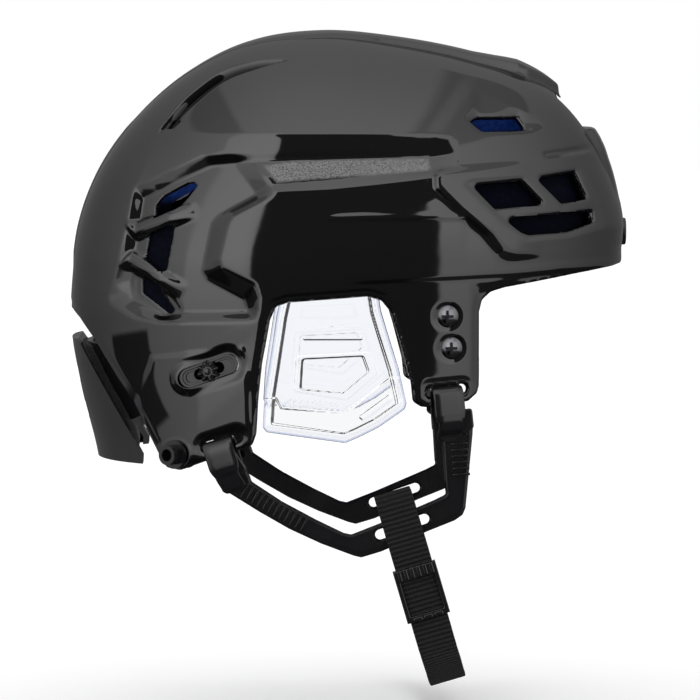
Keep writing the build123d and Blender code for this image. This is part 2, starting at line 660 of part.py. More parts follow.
def strap_plane():
    """Plane across the strap at the strap slot: x to the left, y up the strap, z across its width."""
    x, z = sling_point(STRAP_SLOT_ALONG_SHARE, STRAP_SLOT_DOWN_SHARE)
    lean = math.radians(STRAP_LEAN)
    return Plane(origin=(x, 0, z), x_dir=(0, 1, 0), z_dir=(math.cos(lean), 0, math.sin(lean)))


def strap_block(points, width):
    """Block across the strap, from an outline of places across the helmet and up the strap."""
    plane = strap_plane()
    places = [plane.from_local_coords((x, y, -width / 2)) for x, y in points]
    return Solid.extrude(Face(Wire.make_polygon(places, close=True)), plane.z_dir * width)


def upright(low_x, high_x, low, high, width):
    """Upright block of the strap's plane."""
    return strap_block(((low_x, low), (high_x, low), (high_x, high), (low_x, high)), width)


def strap_loop(side, low, high, inner, outer):
    """Closed loop of webbing round one bar of a sling, between two heights."""
    web = STRAP_THICKNESS
    near, far = sorted((side * outer, side * (inner - web)))
    loop = upright(near, far, low, high, STRAP_WIDTH)
    near, far = sorted((side * (outer - web), side * inner))
    return loop - upright(near, far, low + web, high - web, STRAP_WIDTH + OVERRUN)


def chin_strap():
    """Webbing in a U between the slings, looped over the bar of the right one and under that of the left one."""
    web = STRAP_THICKNESS
    outer = sling_outer_y() + STRAP_SIDE_GAP + STRAP_PLY
    inner = sling_outer_y() - SLING_THICKNESS - STRAP_BACK_GAP
    strap = strap_loop(-1, -web / 2, STRAP_LOOP_RISE + web, inner, outer)
    strap += upright(-outer, STRAP_PLY - outer, -STRAP_STRAIGHT, web / 2, STRAP_WIDTH)
    strap += strap_loop(1, -STRAP_LEFT_LOOP_DROP - web, web / 2, inner, outer)
    strap += upright(outer - web, outer, -STRAP_STRAIGHT, web / 2, STRAP_WIDTH)
    strap += upright(outer - STRAP_PLY, outer, -STRAP_LEFT_PLY_DROP, -STRAP_LEFT_LOOP_DROP - web / 2, STRAP_WIDTH)
    low = []
    high = []
    for step in range(STRAP_STEPS + 1):
        angle = math.pi * step / STRAP_STEPS
        low.append((-outer * math.cos(angle), -STRAP_STRAIGHT - STRAP_SAG * math.sin(angle)))
        high.append((-(outer - web) * math.cos(angle), -STRAP_STRAIGHT - (STRAP_SAG - web) * math.sin(angle)))
    return strap + strap_block(low + high[::-1], STRAP_WIDTH)


def strap_slider():
    """Slider buckle round the doubled webbing on the right."""
    outer = sling_outer_y() + STRAP_SIDE_GAP + STRAP_PLY + LOOSE_GAP
    inner = outer - STRAP_PLY - 2 * LOOSE_GAP
    low, high = -SLIDER_TOP - SLIDER_LENGTH, -SLIDER_TOP
    slider = upright(-outer - SLIDER_WALL, -inner + SLIDER_WALL, low, high, SLIDER_WIDTH)
    slider -= upright(-outer, -inner, low - OVERRUN, high + OVERRUN, STRAP_WIDTH + 2 * LOOSE_GAP)
    top = high - SLIDER_WINDOW_DROP
    slider -= upright(-outer - OVERRUN, -outer + LOOSE_GAP, top - SLIDER_WINDOW_LENGTH, top, SLIDER_WINDOW_WIDTH)
    return slider


def adjuster_track():
    """Oval track with its long slot, set in the right of the shell."""
    plane = adjuster_plane()
    track = oval(plane, TRACK_LENGTH, TRACK_WIDTH, TRACK_PROUD - TRACK_THICKNESS, TRACK_PROUD)
    slot_width = 2 * (SHAFT_RADIUS + SLOT_CLEARANCE)
    slot_length = slot_width + 2 * ADJUSTER_TRAVEL + SLOT_CLEARANCE
    return track - oval(plane, slot_length, slot_width, -OVERRUN, OVERRUN)


def adjuster_knob():
    """Lobed knob with its shaft, on the right."""
    plane = adjuster_plane()
    low = TRACK_PROUD + KNOB_CLEARANCE
    outline = Circle(KNOB_PLACE)
    for lobe in range(KNOB_LOBES):
        angle = 2 * math.pi * lobe / KNOB_LOBES
        outline += Pos(KNOB_PLACE * math.cos(angle), KNOB_PLACE * math.sin(angle)) * Circle(KNOB_LOBE_RADIUS)
    head = plane.location * Pos(0, 0, low) * extrude(outline, KNOB_HEIGHT)
    return head + rod(plane.origin, plane.z_dir, SHAFT_RADIUS, -SHAFT_LENGTH, low + LOOSE_GAP)


def arm_face():
    """Depth of the cradle arm's inner face below the surface, at the right adjuster."""
    return ARM_INSET + ARM_THICKNESS + ADJUSTER_NUT_GAP


def adjuster_nut():
    """Nut of the right knob, behind the cradle arm."""
    plane = adjuster_plane()
    low = -arm_face() - ADJUSTER_NUT_HEIGHT
    nut = rod(plane.origin, plane.z_dir, ADJUSTER_NUT_RADIUS, low, low + ADJUSTER_NUT_HEIGHT)
    return nut - rod(plane.origin, plane.z_dir, SHAFT_RADIUS + FIT_GAP / 2, -OVERRUN, 0)


def occipital_cradle():
    """Cradle behind the head, with an arm to each adjuster."""
    outline = nape_places(CRADLE_OUTLINE_SHARES)
    block = side_block(outline)
    block &= plan_block(((-HALF_LENGTH - OVERRUN, -HALF_WIDTH), (0, -HALF_WIDTH), (0, HALF_WIDTH),
                         (-HALF_LENGTH - OVERRUN, HALF_WIDTH)), CRADLE_FLOOR_Z, 0)
    inner_block = side_block([(x - CRADLE_RIM, z) for x, z in outline])
    arm_inner = ARM_INSET + ARM_THICKNESS
    cradle = layer(CRADLE_INSET, arm_inner, block)
    cradle -= form(CRADLE_INSET + CRADLE_SKIN) & inner_block
    arms = layer(ARM_INSET, arm_inner, side_block(nape_places(ARM_OUTLINE_SHARES))) - inner_block
    cradle += arms
    for across, drop in CRADLE_WINDOW_SHARES:
        for side in (-1, 1):
            window = Box(2 * OVERRUN, CRADLE_WINDOW_WIDTH, CRADLE_WINDOW_HEIGHT)
            cradle -= Pos(-HALF_LENGTH, side * across * HALF_WIDTH, drop * CORNER_Z) * window
    plane = adjuster_plane()
    hole = rod(plane.origin, plane.z_dir, SHAFT_RADIUS + FIT_GAP / 2, -OVERRUN, 0)
    return cradle - hole - left_of(hole)


def nape_pad():
    """Pad in the hollow of the cradle."""
    points = [(x - CRADLE_RIM - LOOSE_GAP, z) for x, z in nape_places(CRADLE_OUTLINE_SHARES)]
    block = side_block(points) & plan_block(
        ((-HALF_LENGTH - OVERRUN, -HALF_WIDTH), (0, -HALF_WIDTH), (0, HALF_WIDTH),
         (-HALF_LENGTH - OVERRUN, HALF_WIDTH)), CRADLE_FLOOR_Z + CRADLE_RIM, NAPE_MIDDLE_Z - CRADLE_RIM)
    outer = CRADLE_INSET + CRADLE_SKIN + LOOSE_GAP
    return layer(outer, outer + NAPE_PAD_THICKNESS, block)


def rear_stud():
    """Hollow stud at the right lower rear corner."""
    centre, out = stud_place(-1)
    low = BOSS_PROUD + FIT_GAP / 2
    stud = rod(centre, out, STUD_RADIUS, -STUD_INNER, STUD_PROUD)
    stud += rod(centre, out, STUD_FLANGE_RADIUS, low, low + STUD_FLANGE_THICKNESS)
    return stud - rod(centre, out, STUD_BORE_RADIUS, -STUD_INNER - OVERRUN, STUD_PROUD + OVERRUN)


def stud_nuts():
    """Ring nuts of the rear studs, inside the shell."""
    nuts = []
    for side in (-1, 1):
        centre, out = stud_place(side)
        high = -BOSS_INNER - FIT_GAP
        ring = rod(centre, out, STUD_NUT_RADIUS, high - STUD_NUT_HEIGHT, high)
        nuts.append(ring - rod(centre, out, STUD_RADIUS + FIT_GAP, -OVERRUN, OVERRUN))
    return nuts


def bumper_seat():
    """Place of the shell's front surface at the button."""
    angle = math.atan2(BUMPER_Z / CROWN_HEIGHT, 1.0)
    reach = profile_share(angle)
    return CENTRE_X + HALF_LENGTH * math.sqrt(reach**2 - (BUMPER_Z / CROWN_HEIGHT) ** 2)


def front_bumper():
    """Round button at the middle of the brow."""
    seat = bumper_seat() + LOOSE_GAP
    centre, ahead = Vector(0, 0, BUMPER_Z), Vector(1, 0, 0)
    head = rod(centre, ahead, BUMPER_RADIUS, seat, seat + BUMPER_HEIGHT)
    head = fillet(head.edges().sort_by(Axis.X)[-1], BUMPER_HEIGHT / 3)
    return head + rod(centre, ahead, BUMPER_PEG_RADIUS, seat - BUMPER_PEG_LENGTH, seat + LOOSE_GAP)


def bumper_nut():
    """Push-on washer behind the front button."""
    centre, ahead = Vector(0, 0, BUMPER_Z), Vector(1, 0, 0)
    high = bumper_seat() - WALL - BUMPER_NUT_GAP
    ring = rod(centre, ahead, BUMPER_NUT_RADIUS, high - BUMPER_NUT_HEIGHT, high)
    return ring - rod(centre, ahead, BUMPER_PEG_RADIUS + FIT_GAP, 0, HALF_LENGTH)


def main():
    """Make every piece and write one file for each."""
    pieces = {
        "outer_shell": outer_shell(),
        "crown_spine": crown_spine(),
        "front_liner": front_liner(),
        "rear_liner": rear_liner(),
        "brow_pad": brow_pad(),
        "rear_pad": rear_pad(),
        "crown_pad": crown_pad(),
        "guard_washers": Compound(children=guard_washers()),
        "temple_screws": Compound(children=temple_screws()),
        "temple_nuts": Compound(children=temple_nuts()),
        "chin_strap": chin_strap(),
        "strap_slider": strap_slider(),
        "occipital_cradle": occipital_cradle(),
        "nape_pad": nape_pad(),
        "stud_nuts": Compound(children=stud_nuts()),
        "front_bumper": front_bumper(),
        "bumper_nut": bumper_nut(),
    }
    right_pieces = {
        "temple_pad": side_comfort_pad(TEMPLE_PAD_X),
        "side_pad": side_comfort_pad(SIDE_PAD_X),
        "jaw_pad": jaw_pad(),
        "ear_guard": ear_guard(),
        "sling": sling(),
        "adjuster_track": adjuster_track(),
        "adjuster_knob": adjuster_knob(),
        "adjuster_nut": adjuster_nut(),
        "rear_stud": rear_stud(),
    }
    for name, piece in right_pieces.items():
        pieces[name + "_right"] = piece
        pieces[name + "_left"] = left_of(piece)
    os.makedirs("parts", exist_ok=True)
    for name, piece in pieces.items():
        export_step(piece, f"parts/{name}.step")


if __name__ == "__main__":
    main()
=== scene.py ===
"""Ice hockey helmet: shell, liner, pads, clear ear guards, chin slings, strap, cradle and fittings."""

import math

import bpy
import numpy as np
from bpy.props import FloatProperty, FloatVectorProperty, PointerProperty
from mathutils import Matrix, Vector


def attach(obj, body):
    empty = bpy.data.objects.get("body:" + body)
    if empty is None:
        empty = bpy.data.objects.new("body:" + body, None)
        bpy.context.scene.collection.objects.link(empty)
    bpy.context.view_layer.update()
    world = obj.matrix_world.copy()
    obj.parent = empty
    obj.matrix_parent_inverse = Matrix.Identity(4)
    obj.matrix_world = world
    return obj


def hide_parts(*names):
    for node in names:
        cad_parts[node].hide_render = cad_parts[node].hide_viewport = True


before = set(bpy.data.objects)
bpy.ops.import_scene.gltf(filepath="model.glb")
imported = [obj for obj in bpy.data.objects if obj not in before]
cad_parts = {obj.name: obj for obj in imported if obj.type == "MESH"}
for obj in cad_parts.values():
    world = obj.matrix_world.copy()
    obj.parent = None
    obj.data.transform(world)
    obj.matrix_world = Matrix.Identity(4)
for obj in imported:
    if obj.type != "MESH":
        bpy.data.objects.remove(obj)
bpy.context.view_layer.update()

bl_info = {
    "name": "Ice hockey helmet",
    "version": (1, 0, 0),
    "blender": (4, 5, 0),
    "location": "3D View > Sidebar > Helmet",
    "description": "Builds an ice hockey helmet round its jointed frame",
    "category": "Add Mesh",
}

MM = 0.001


# Form of the head shell, in millimetres; the wearer's right is at negative y

CENTRE_X = -12.0
WIDTH_EXPONENT = 2.5
PROFILE = np.array([
    1.088, 1.11, 1.14, 1.13, 1.045, 1.0, 1.0, 1.0, 0.97, 0.94, 0.922, 0.91,
    0.908, 0.945, 1.005, 1.145, 1.51, 1.88, 1.96, 1.89, 1.69, 1.41, 1.22, 1.12,
])


def sizes():
    return bpy.context.scene.helmet_sizes


def colours():
    return bpy.context.scene.helmet_colours


def profile(angle):
    """Radius of the side profile at an angle, as a share of the half length and crown height."""
    place = (np.degrees(angle) % 360) / 15
    first = np.floor(place).astype(int) % 24
    u = place - np.floor(place)
    before, start, end, after = (PROFILE[(first + k) % 24] for k in (-1, 0, 1, 2))
    rise, fall = (end - before) / 2, (after - start) / 2
    mix = 2 * u**3 - 3 * u**2
    return start * (1 + mix) + rise * (u**3 - 2 * u**2 + u) - end * mix + fall * (u**3 - u**2)


def form_point(turn, lift):
    """Point of the form along a direction from its centre."""
    ahead = np.cos(lift) * np.cos(turn)
    across = np.cos(lift) * np.sin(turn)
    up = np.sin(lift)
    reach = np.hypot(ahead, up) / profile(np.arctan2(up, ahead))
    scale = (reach**WIDTH_EXPONENT + np.abs(across) ** WIDTH_EXPONENT) ** (-1 / WIDTH_EXPONENT)
    s = sizes()
    return np.stack([
        CENTRE_X + s.half_length / MM * scale * ahead,
        s.half_width / MM * scale * across,
        s.crown_height / MM * scale * up,
    ], axis=-1)


def form_normal(turn, lift):
    """Outward direction of the form."""
    step = 2e-4
    lift = np.minimum(lift, math.pi / 2 - 2 * step)
    along = form_point(turn + step, lift) - form_point(turn - step, lift)
    upward = form_point(turn, lift + step) - form_point(turn, lift - step)
    normal = np.cross(along, upward)
    return normal / np.linalg.norm(normal, axis=-1, keepdims=True)


def half_width(x, z):
    """Half width of the form at a point of the side view."""
    s = sizes()
    u = (x - CENTRE_X) / (s.half_length / MM)
    v = z / (s.crown_height / MM)
    reach = min(math.hypot(u, v) / float(profile(np.array(math.atan2(v, u)))), 1.0)
    return s.half_width / MM * (1 - reach**WIDTH_EXPONENT) ** (1 / WIDTH_EXPONENT)


# Outlines and distances in a flat view

def rounded(points, radius, steps=5):
    """Outline with its corners rounded."""
    points = [Vector(p) for p in points]
    out = []
    for k, corner in enumerate(points):
        back, on = points[k - 1] - corner, points[(k + 1) % len(points)] - corner
        angle = back.angle(on, math.pi)
        if radius <= 0 or angle > math.radians(176):
            out.append(tuple(corner))
            continue
        cut = min(radius / math.tan(angle / 2), 0.45 * back.length, 0.45 * on.length)
        start, end = corner + back.normalized() * cut, corner + on.normalized() * cut
        for j in range(steps + 1):
            t = j / steps
            out.append(tuple(start * (1 - t) ** 2 + corner * (2 * t * (1 - t)) + end * t**2))
    return np.array(out)


def ramp(value, width=1.0):
    """Value as a share of a width, kept between 0 and 1."""
    return np.clip(value / width, 0, 1)


def ease(value):
    value = ramp(value)
    return value * value * (3 - 2 * value)


def near_spots(u, v, spots, reach):
    """Mask of the places within reach of the box round some spots."""
    low, high = spots.min(0) - reach, spots.max(0) + reach
    return (u > low[0]) & (u < high[0]) & (v > low[1]) & (v < high[1])


NEAR = 12.0
FAR = 30.0


def depth_in(u, v, outline, reach=NEAR):
    """Distance inside an outline, negative outside it and no further off than the reach."""
    outline = np.asarray(outline, float)
    near = near_spots(u, v, outline, reach)
    result = np.full(u.shape, -reach)
    p, q = u[near], v[near]
    best = np.full(p.shape, 1e9)
    inside = np.zeros(p.shape, bool)
    for k in range(len(outline)):
        (ax, ay), (bx, by) = outline[k - 1], outline[k]
        dx, dy = bx - ax, by - ay
        length = dx * dx + dy * dy
        if length == 0:
            continue
        t = ramp((p - ax) * dx + (q - ay) * dy, length)
        best = np.minimum(best, (p - ax - t * dx) ** 2 + (q - ay - t * dy) ** 2)
        if ay != by:
            crosses = ((ay > q) != (by > q)) & (p < dx * (q - ay) / dy + ax)
            inside ^= crosses
    best = np.sqrt(best)
    result[near] = np.clip(np.where(inside, best, -best), -reach, reach)
    return result


def depth_in_stroke(u, v, line, reach=6.0):
    """Distance inside a curved stroke, from places with half widths along its middle."""
    spots = smooth_path(line, 60)
    near = near_spots(u, v, spots, reach)
    result = np.full(u.shape, -reach)
    p, q = u[near], v[near]
    best = np.full(p.shape, -reach)
    for (ax, ay, a_half), (bx, by, b_half) in zip(spots, spots[1:]):
        dx, dy = bx - ax, by - ay
        t = ramp((p - ax) * dx + (q - ay) * dy, dx * dx + dy * dy)
        off = np.hypot(p - ax - t * dx, q - ay - t * dy)
        best = np.maximum(best, a_half + (b_half - a_half) * t - off)
    result[near] = best
    return result


def between(u, v, outer, inner):
    """0 outside the outer outline, 1 inside the inner one, and an even slope between them."""
    a = np.maximum(depth_in(u, v, outer, FAR), 0)
    b = np.maximum(-depth_in(u, v, inner, FAR), 0)
    return np.where(a + b > 0, a / (a + b + 1e-9), 0)


def bar_height(u, v, start, end, half, taper):
    """Rounded bar between two points, tapering off past its end."""
    (ax, ay), (bx, by) = start, end
    dx, dy = bx - ax, by - ay
    length = math.hypot(dx, dy)
    t = ((u - ax) * dx + (v - ay) * dy) / length
    off = np.abs((u - ax) * dy - (v - ay) * dx) / length
    side = np.sqrt(ramp(1 - (off / half) ** 2))
    return side * ramp(t + 2) * ramp(length - t, taper)


def slot_outline(x, z, length, height, slope):
    """Long hole with round ends."""
    a = math.radians(slope)
    reach = (length - height) / 2
    points = []
    for way in (1, -1):
        for j in range(-6, 7):
            t = a + math.radians(15 * j) + (0 if way > 0 else math.pi)
            points.append((x + way * reach * math.cos(a) + height / 2 * math.cos(t),
                           z + way * reach * math.sin(a) + height / 2 * math.sin(t)))
    return np.array(points)


def circle_outline(x, z, radius, count=28):
    turns = [2 * math.pi * k / count for k in range(count)]
    return np.array([(x + radius * math.cos(t), z + radius * math.sin(t)) for t in turns])


def box_outline(u, v, end_u, end_v):
    return (u, v), (end_u, v), (end_u, end_v), (u, end_v)


# Meshes

SHARP_ANGLE = 38


def added(name, data):
    """New object in the scene."""
    obj = bpy.data.objects.new(name, data)
    bpy.context.scene.collection.objects.link(obj)
    return obj


def finished(name, mesh, sharp=SHARP_ANGLE):
    """Object of a smooth mesh whose edges over an angle, in degrees, stay sharp."""
    mesh.shade_smooth()
    mesh.set_sharp_from_angle(angle=math.radians(sharp))
    return added(name, mesh)


def new_piece(name, verts, polys, material, sharp=SHARP_ANGLE, values=None):
    """Object from vertices in millimetres and arrays of polygons."""
    polys = [np.asarray(p) for p in polys if len(p)]
    mesh = bpy.data.meshes.new(name)
    mesh.vertices.add(len(verts))
    mesh.vertices.foreach_set("co", (np.asarray(verts, float) * MM).astype(np.float32).ravel())
    corner = np.concatenate([p.ravel() for p in polys])
    totals = np.concatenate([np.full(len(p), p.shape[1]) for p in polys])
    mesh.loops.add(len(corner))
    mesh.loops.foreach_set("vertex_index", corner.astype(np.int32))
    mesh.polygons.add(len(totals))
    mesh.polygons.foreach_set("loop_start", (np.cumsum(totals) - totals).astype(np.int32))
    mesh.update(calc_edges=True)
    mesh.validate()
    mesh.materials.append(material)
    obj = finished(name, mesh, sharp)
    for key, value in (values or {}).items():
        attribute = mesh.attributes.new(key, "FLOAT", "POINT")
        attribute.data.foreach_set("value", np.asarray(value, np.float32))
    return obj


def mirrored(obj, name):
    """The same piece on the other side of the helmet."""
    mesh = obj.data.copy()
    mesh.transform(Matrix.Scale(-1, 4, (0, 1, 0)))
    mesh.flip_normals()
    return added(name, mesh)


def joined(name, parts):
    """Several objects of one material made one mesh."""
    verts, faces = [], []
    for part in parts:
        start = len(verts)
        verts += [v.co.copy() for v in part.data.vertices]
        faces += [[start + v for v in p.vertices] for p in part.data.polygons]
    mesh = bpy.data.meshes.new(name)
    mesh.from_pydata(verts, [], faces)
    mesh.materials.append(parts[0].data.materials[0])
    for part in parts:
        bpy.data.objects.remove(part)
    return finished(name, mesh)


def clip(quads, inside, turn, lift):
    """The part of a grid where a field is positive, with new corners where an edge crosses zero."""
    field = np.where(np.abs(inside) < 0.04, 0.04, inside)
    kept = field > 0
    count = kept[quads].sum(1)
    whole = quads[count == 4]
    mixed = quads[(count > 0) & (count < 4)]
    triangles = np.concatenate([mixed[:, [0, 1, 2]], mixed[:, [0, 2, 3]]])
    count = kept[triangles].sum(1)
    whole_triangles = triangles[count == 3]
    ones, twos = triangles[count == 1], triangles[count == 2]

    def turned(faces, lone):
        at = np.argmax(kept[faces] == lone, axis=1)
        rows = np.arange(len(faces))[:, None]
        return faces[rows, (at[:, None] + np.arange(3)) % 3]

    ones, twos = turned(ones, True), turned(twos, False)
    pairs = np.concatenate([ones[:, [0, 1]], ones[:, [0, 2]], twos[:, [0, 1]], twos[:, [0, 2]]])
    unique, where = np.unique(np.sort(pairs, axis=1), axis=0, return_inverse=True)
    where = where.ravel() + len(turn)
    i, j = unique[:, 0], unique[:, 1]
    t = field[i] / (field[i] - field[j])
    swing = (turn[j] - turn[i] + math.pi) % (2 * math.pi) - math.pi
    turn = np.concatenate([turn, turn[i] + t * swing])
    lift = np.concatenate([lift, lift[i] + t * (lift[j] - lift[i])])
    a, b = len(ones), len(twos)
    cut_triangles = np.stack([ones[:, 0], where[:a], where[a:2 * a]], axis=1)
    cut_quads = np.stack([where[2 * a:2 * a + b], twos[:, 1], twos[:, 2], where[2 * a + b:]], axis=1)
    polys = [whole, whole_triangles, cut_triangles, cut_quads]
    used = np.unique(np.concatenate([p.ravel() for p in polys]))
    number = np.full(len(turn), -1)
    number[used] = np.arange(len(used))
    return [number[p] for p in polys], turn[used], lift[used]


def grid(turn_range, lift_range, step):
    """Grid of directions in degrees, closed on itself where it goes all the way round."""
    round_trip = turn_range[1] - turn_range[0] >= 359.9
    columns = max(int((turn_range[1] - turn_range[0]) / step), 8)
    rows = max(int((lift_range[1] - lift_range[0]) / step), 8)
    turns = np.radians(np.linspace(turn_range[0], turn_range[1], columns, endpoint=not round_trip))
    lifts = np.radians(np.linspace(lift_range[0], min(lift_range[1], 89.7), rows))
    turn, lift = np.meshgrid(turns, lifts)
    i = np.arange(columns if round_trip else columns - 1)
    j = np.arange(rows - 1)[:, None]
    on = (i + 1) % columns
    quads = np.stack([j * columns + i, j * columns + on, (j + 1) * columns + on, (j + 1) * columns + i], axis=-1)
    return quads.reshape(-1, 4), turn.ravel(), lift.ravel()


def edges_of(polys):
    """Directed edges of all polygons."""
    return np.concatenate([
        np.stack([p[:, k], p[:, (k + 1) % p.shape[1]]], axis=1) for p in polys if len(p) for k in range(p.shape[1])
    ])


def boundary(polys):
    """Directed edges that only one polygon has."""
    edges = edges_of(polys)
    keys = np.sort(edges, axis=1)
    code = keys[:, 0].astype(np.int64) * (edges.max() + 1) + keys[:, 1]
    _, index, count = np.unique(code, return_index=True, return_counts=True)
    return edges[index[count == 1]]


def evened(values, polys, passes):
    """Values averaged with those of their neighbours along the polygons' edges."""
    a, b = edges_of(polys).T
    size = len(values)
    count = np.maximum(np.bincount(a, minlength=size) + np.bincount(b, minlength=size), 1)
    for _ in range(passes):
        total = np.bincount(a, values[b], size) + np.bincount(b, values[a], size)
        values = 0.5 * values + 0.5 * total / count
    return values


def shell_piece(name, keep, outer, inner, material, turn_range=(-180, 180), lift_range=(-46, 90), step=0.5,
                values=None, sharp=SHARP_ANGLE, passes=0):
    """Curved piece that follows the form: keep, outer and inner are fields of the point, in millimetres."""
    quads, turn, lift = grid(turn_range, lift_range, step)
    point = form_point(turn, lift)
    polys, turn, lift = clip(quads, keep(*point.T), turn, lift)
    point, normal = form_point(turn, lift), form_normal(turn, lift)
    top, bottom = outer(*point.T), inner(*point.T)
    if passes:
        near_edge = ramp(keep(*point.T) - 0.7, 0.9)
        top += (evened(top, polys, passes) - top) * near_edge
    outside = point + normal * top[:, None]
    inside = point + normal * bottom[:, None]
    count = len(point)
    edges = boundary(polys)
    strip = np.stack([edges[:, 1], edges[:, 0], edges[:, 0] + count, edges[:, 1] + count], axis=1)
    if turn_range[1] - turn_range[0] >= 359.9 and lift_range[1] > 89:
        at_pole = lift[edges[:, 0]] > math.radians(89.5)
        strip = strip[~at_pole]
        rim = edges[at_pole][:, 0]
        rim = rim[np.argsort(turn[rim])]
        cap = [rim[None, :], (rim + count)[None, ::-1]] if len(rim) else []
    else:
        cap = []
    inner_polys = [p[:, ::-1] + count for p in polys]
    verts = np.concatenate([outside, inside])
    extra = {k: np.concatenate([f(*point.T), np.zeros(count)]) for k, f in (values or {}).items()}
    return new_piece(name, verts, polys + inner_polys + [strip] + cap, material, sharp, extra)


def flat_curve(name, outlines, depth, bevel, origin, x_dir, y_dir, material, resolution=3):
    """Plate with holes and rounded edges, from outlines on a plane; it is depth thick, half on either side."""
    curve = bpy.data.curves.new(name, "CURVE")
    curve.dimensions = "2D"
    curve.fill_mode = "BOTH"
    curve.extrude = max(depth / 2 - bevel, 0) * MM
    curve.bevel_depth = bevel * MM
    curve.offset = -bevel * MM
    curve.bevel_resolution = resolution
    for outline in outlines:
        spline = curve.splines.new("POLY")
        spline.points.add(len(outline) - 1)
        for p, (u, v) in zip(spline.points, outline):
            p.co = (u * MM, v * MM, 0, 1)
        spline.use_cyclic_u = True
    maker = added(name + "_curve", curve)
    x, y = Vector(x_dir).normalized(), Vector(y_dir).normalized()
    z = x.cross(y)
    place = Matrix((x, y, z)).transposed().to_4x4()
    place.translation = Vector(origin) * MM
    deps = bpy.context.evaluated_depsgraph_get()
    mesh = bpy.data.meshes.new_from_object(maker.evaluated_get(deps))
    mesh.transform(place)
    bpy.data.objects.remove(maker)
    mesh.materials.clear()
    mesh.materials.append(material)
    return finished(name, mesh)


def side_plate(name, outlines, y, thickness, bevel, material, resolution=3):
    """Plate in the side view, its middle at y; the outlines are places along and up."""
    return flat_curve(name, outlines, thickness, bevel, (0, y, 0), (1, 0, 0), (0, 0, 1), material, resolution)


def tube(rows, ring):
    """Polygons of a closed tube of rings, with its two ends."""
    i, j = np.arange(rows - 1)[:, None], np.arange(ring)
    on = (j + 1) % ring
    sides = np.stack([i * ring + j, i * ring + on, (i + 1) * ring + on, (i + 1) * ring + j], axis=-1)
    return [sides.reshape(-1, 4), np.arange(ring)[None, ::-1], (np.arange(ring) + (rows - 1) * ring)[None, :]]


def band(name, path, across, width, thickness, material, sway):
    """Flat web along a path of points, its width swaying, with rounded edges and a surface map in metres."""
    path = np.asarray(path, float)
    across = np.asarray(across, float)
    ahead = np.gradient(path, axis=0)
    ahead /= np.linalg.norm(ahead, axis=1, keepdims=True)
    face = np.cross(ahead, across)
    face /= np.linalg.norm(face, axis=1, keepdims=True)
    half, edge = width / 2, thickness / 2
    ring = [(-half + edge, -edge), (-half / 2, -edge), (0, -edge), (half / 2, -edge), (half - edge, -edge)]
    ring += [(half - edge * (1 - math.sin(a)), -edge * math.cos(a)) for a in (0.8, 1.57, 2.34)]
    ring += [(-u, -v) for u, v in ring]
    ring = np.array(ring)
    count, n = len(path), len(ring)
    verts = (path[:, None] + across * (ring[None, :, 0] * sway[:, None])[..., None]
             + face[:, None] * ring[None, :, 1, None]).reshape(-1, 3)
    obj = new_piece(name, verts, tube(count, n), material)
    run = np.concatenate([[0], np.cumsum(np.linalg.norm(np.diff(path, axis=0), axis=1))])
    layer = obj.data.uv_layers.new(name="weave")
    corner = np.zeros(len(obj.data.loops), np.int32)
    obj.data.loops.foreach_get("vertex_index", corner)
    flat = np.stack([ring[corner % n, 0], run[corner // n]], axis=1) * MM
    layer.data.foreach_set("uv", flat.astype(np.float32).ravel())
    return obj


def inset(outline, distance):
    """Outline moved inward."""
    outline = np.asarray(outline, float)
    on, back = np.roll(outline, -1, axis=0), np.roll(outline, 1, axis=0)
    ahead = on - back
    normal = np.stack([-ahead[:, 1], ahead[:, 0]], axis=1) / np.linalg.norm(ahead, axis=1, keepdims=True)
    area = np.sum(outline[:, 0] * on[:, 1] - outline[:, 1] * on[:, 0])
    return outline + normal * distance * math.copysign(1, area)


def smooth_path(points, count):
    """Even points along a smooth curve through some points."""
    points = np.asarray(points, float)
    padded = np.concatenate([[2 * points[0] - points[1]], points, [2 * points[-1] - points[-2]]])
    out = []
    for k in range(len(points) - 1):
        p0, p1, p2, p3 = padded[k:k + 4]
        for t in np.linspace(0, 1, 24, endpoint=False):
            out.append(0.5 * (2 * p1 + (p2 - p0) * t + (2 * p0 - 5 * p1 + 4 * p2 - p3) * t**2
                              + (3 * p1 - p0 - 3 * p2 + p3) * t**3))
    out = np.array(out + [points[-1]])
    run = np.concatenate([[0], np.cumsum(np.linalg.norm(np.diff(out, axis=0), axis=1))])
    even = np.linspace(0, run[-1], count)
    return np.stack([np.interp(even, run, out[:, k]) for k in range(out.shape[1])], axis=1)


# Materials

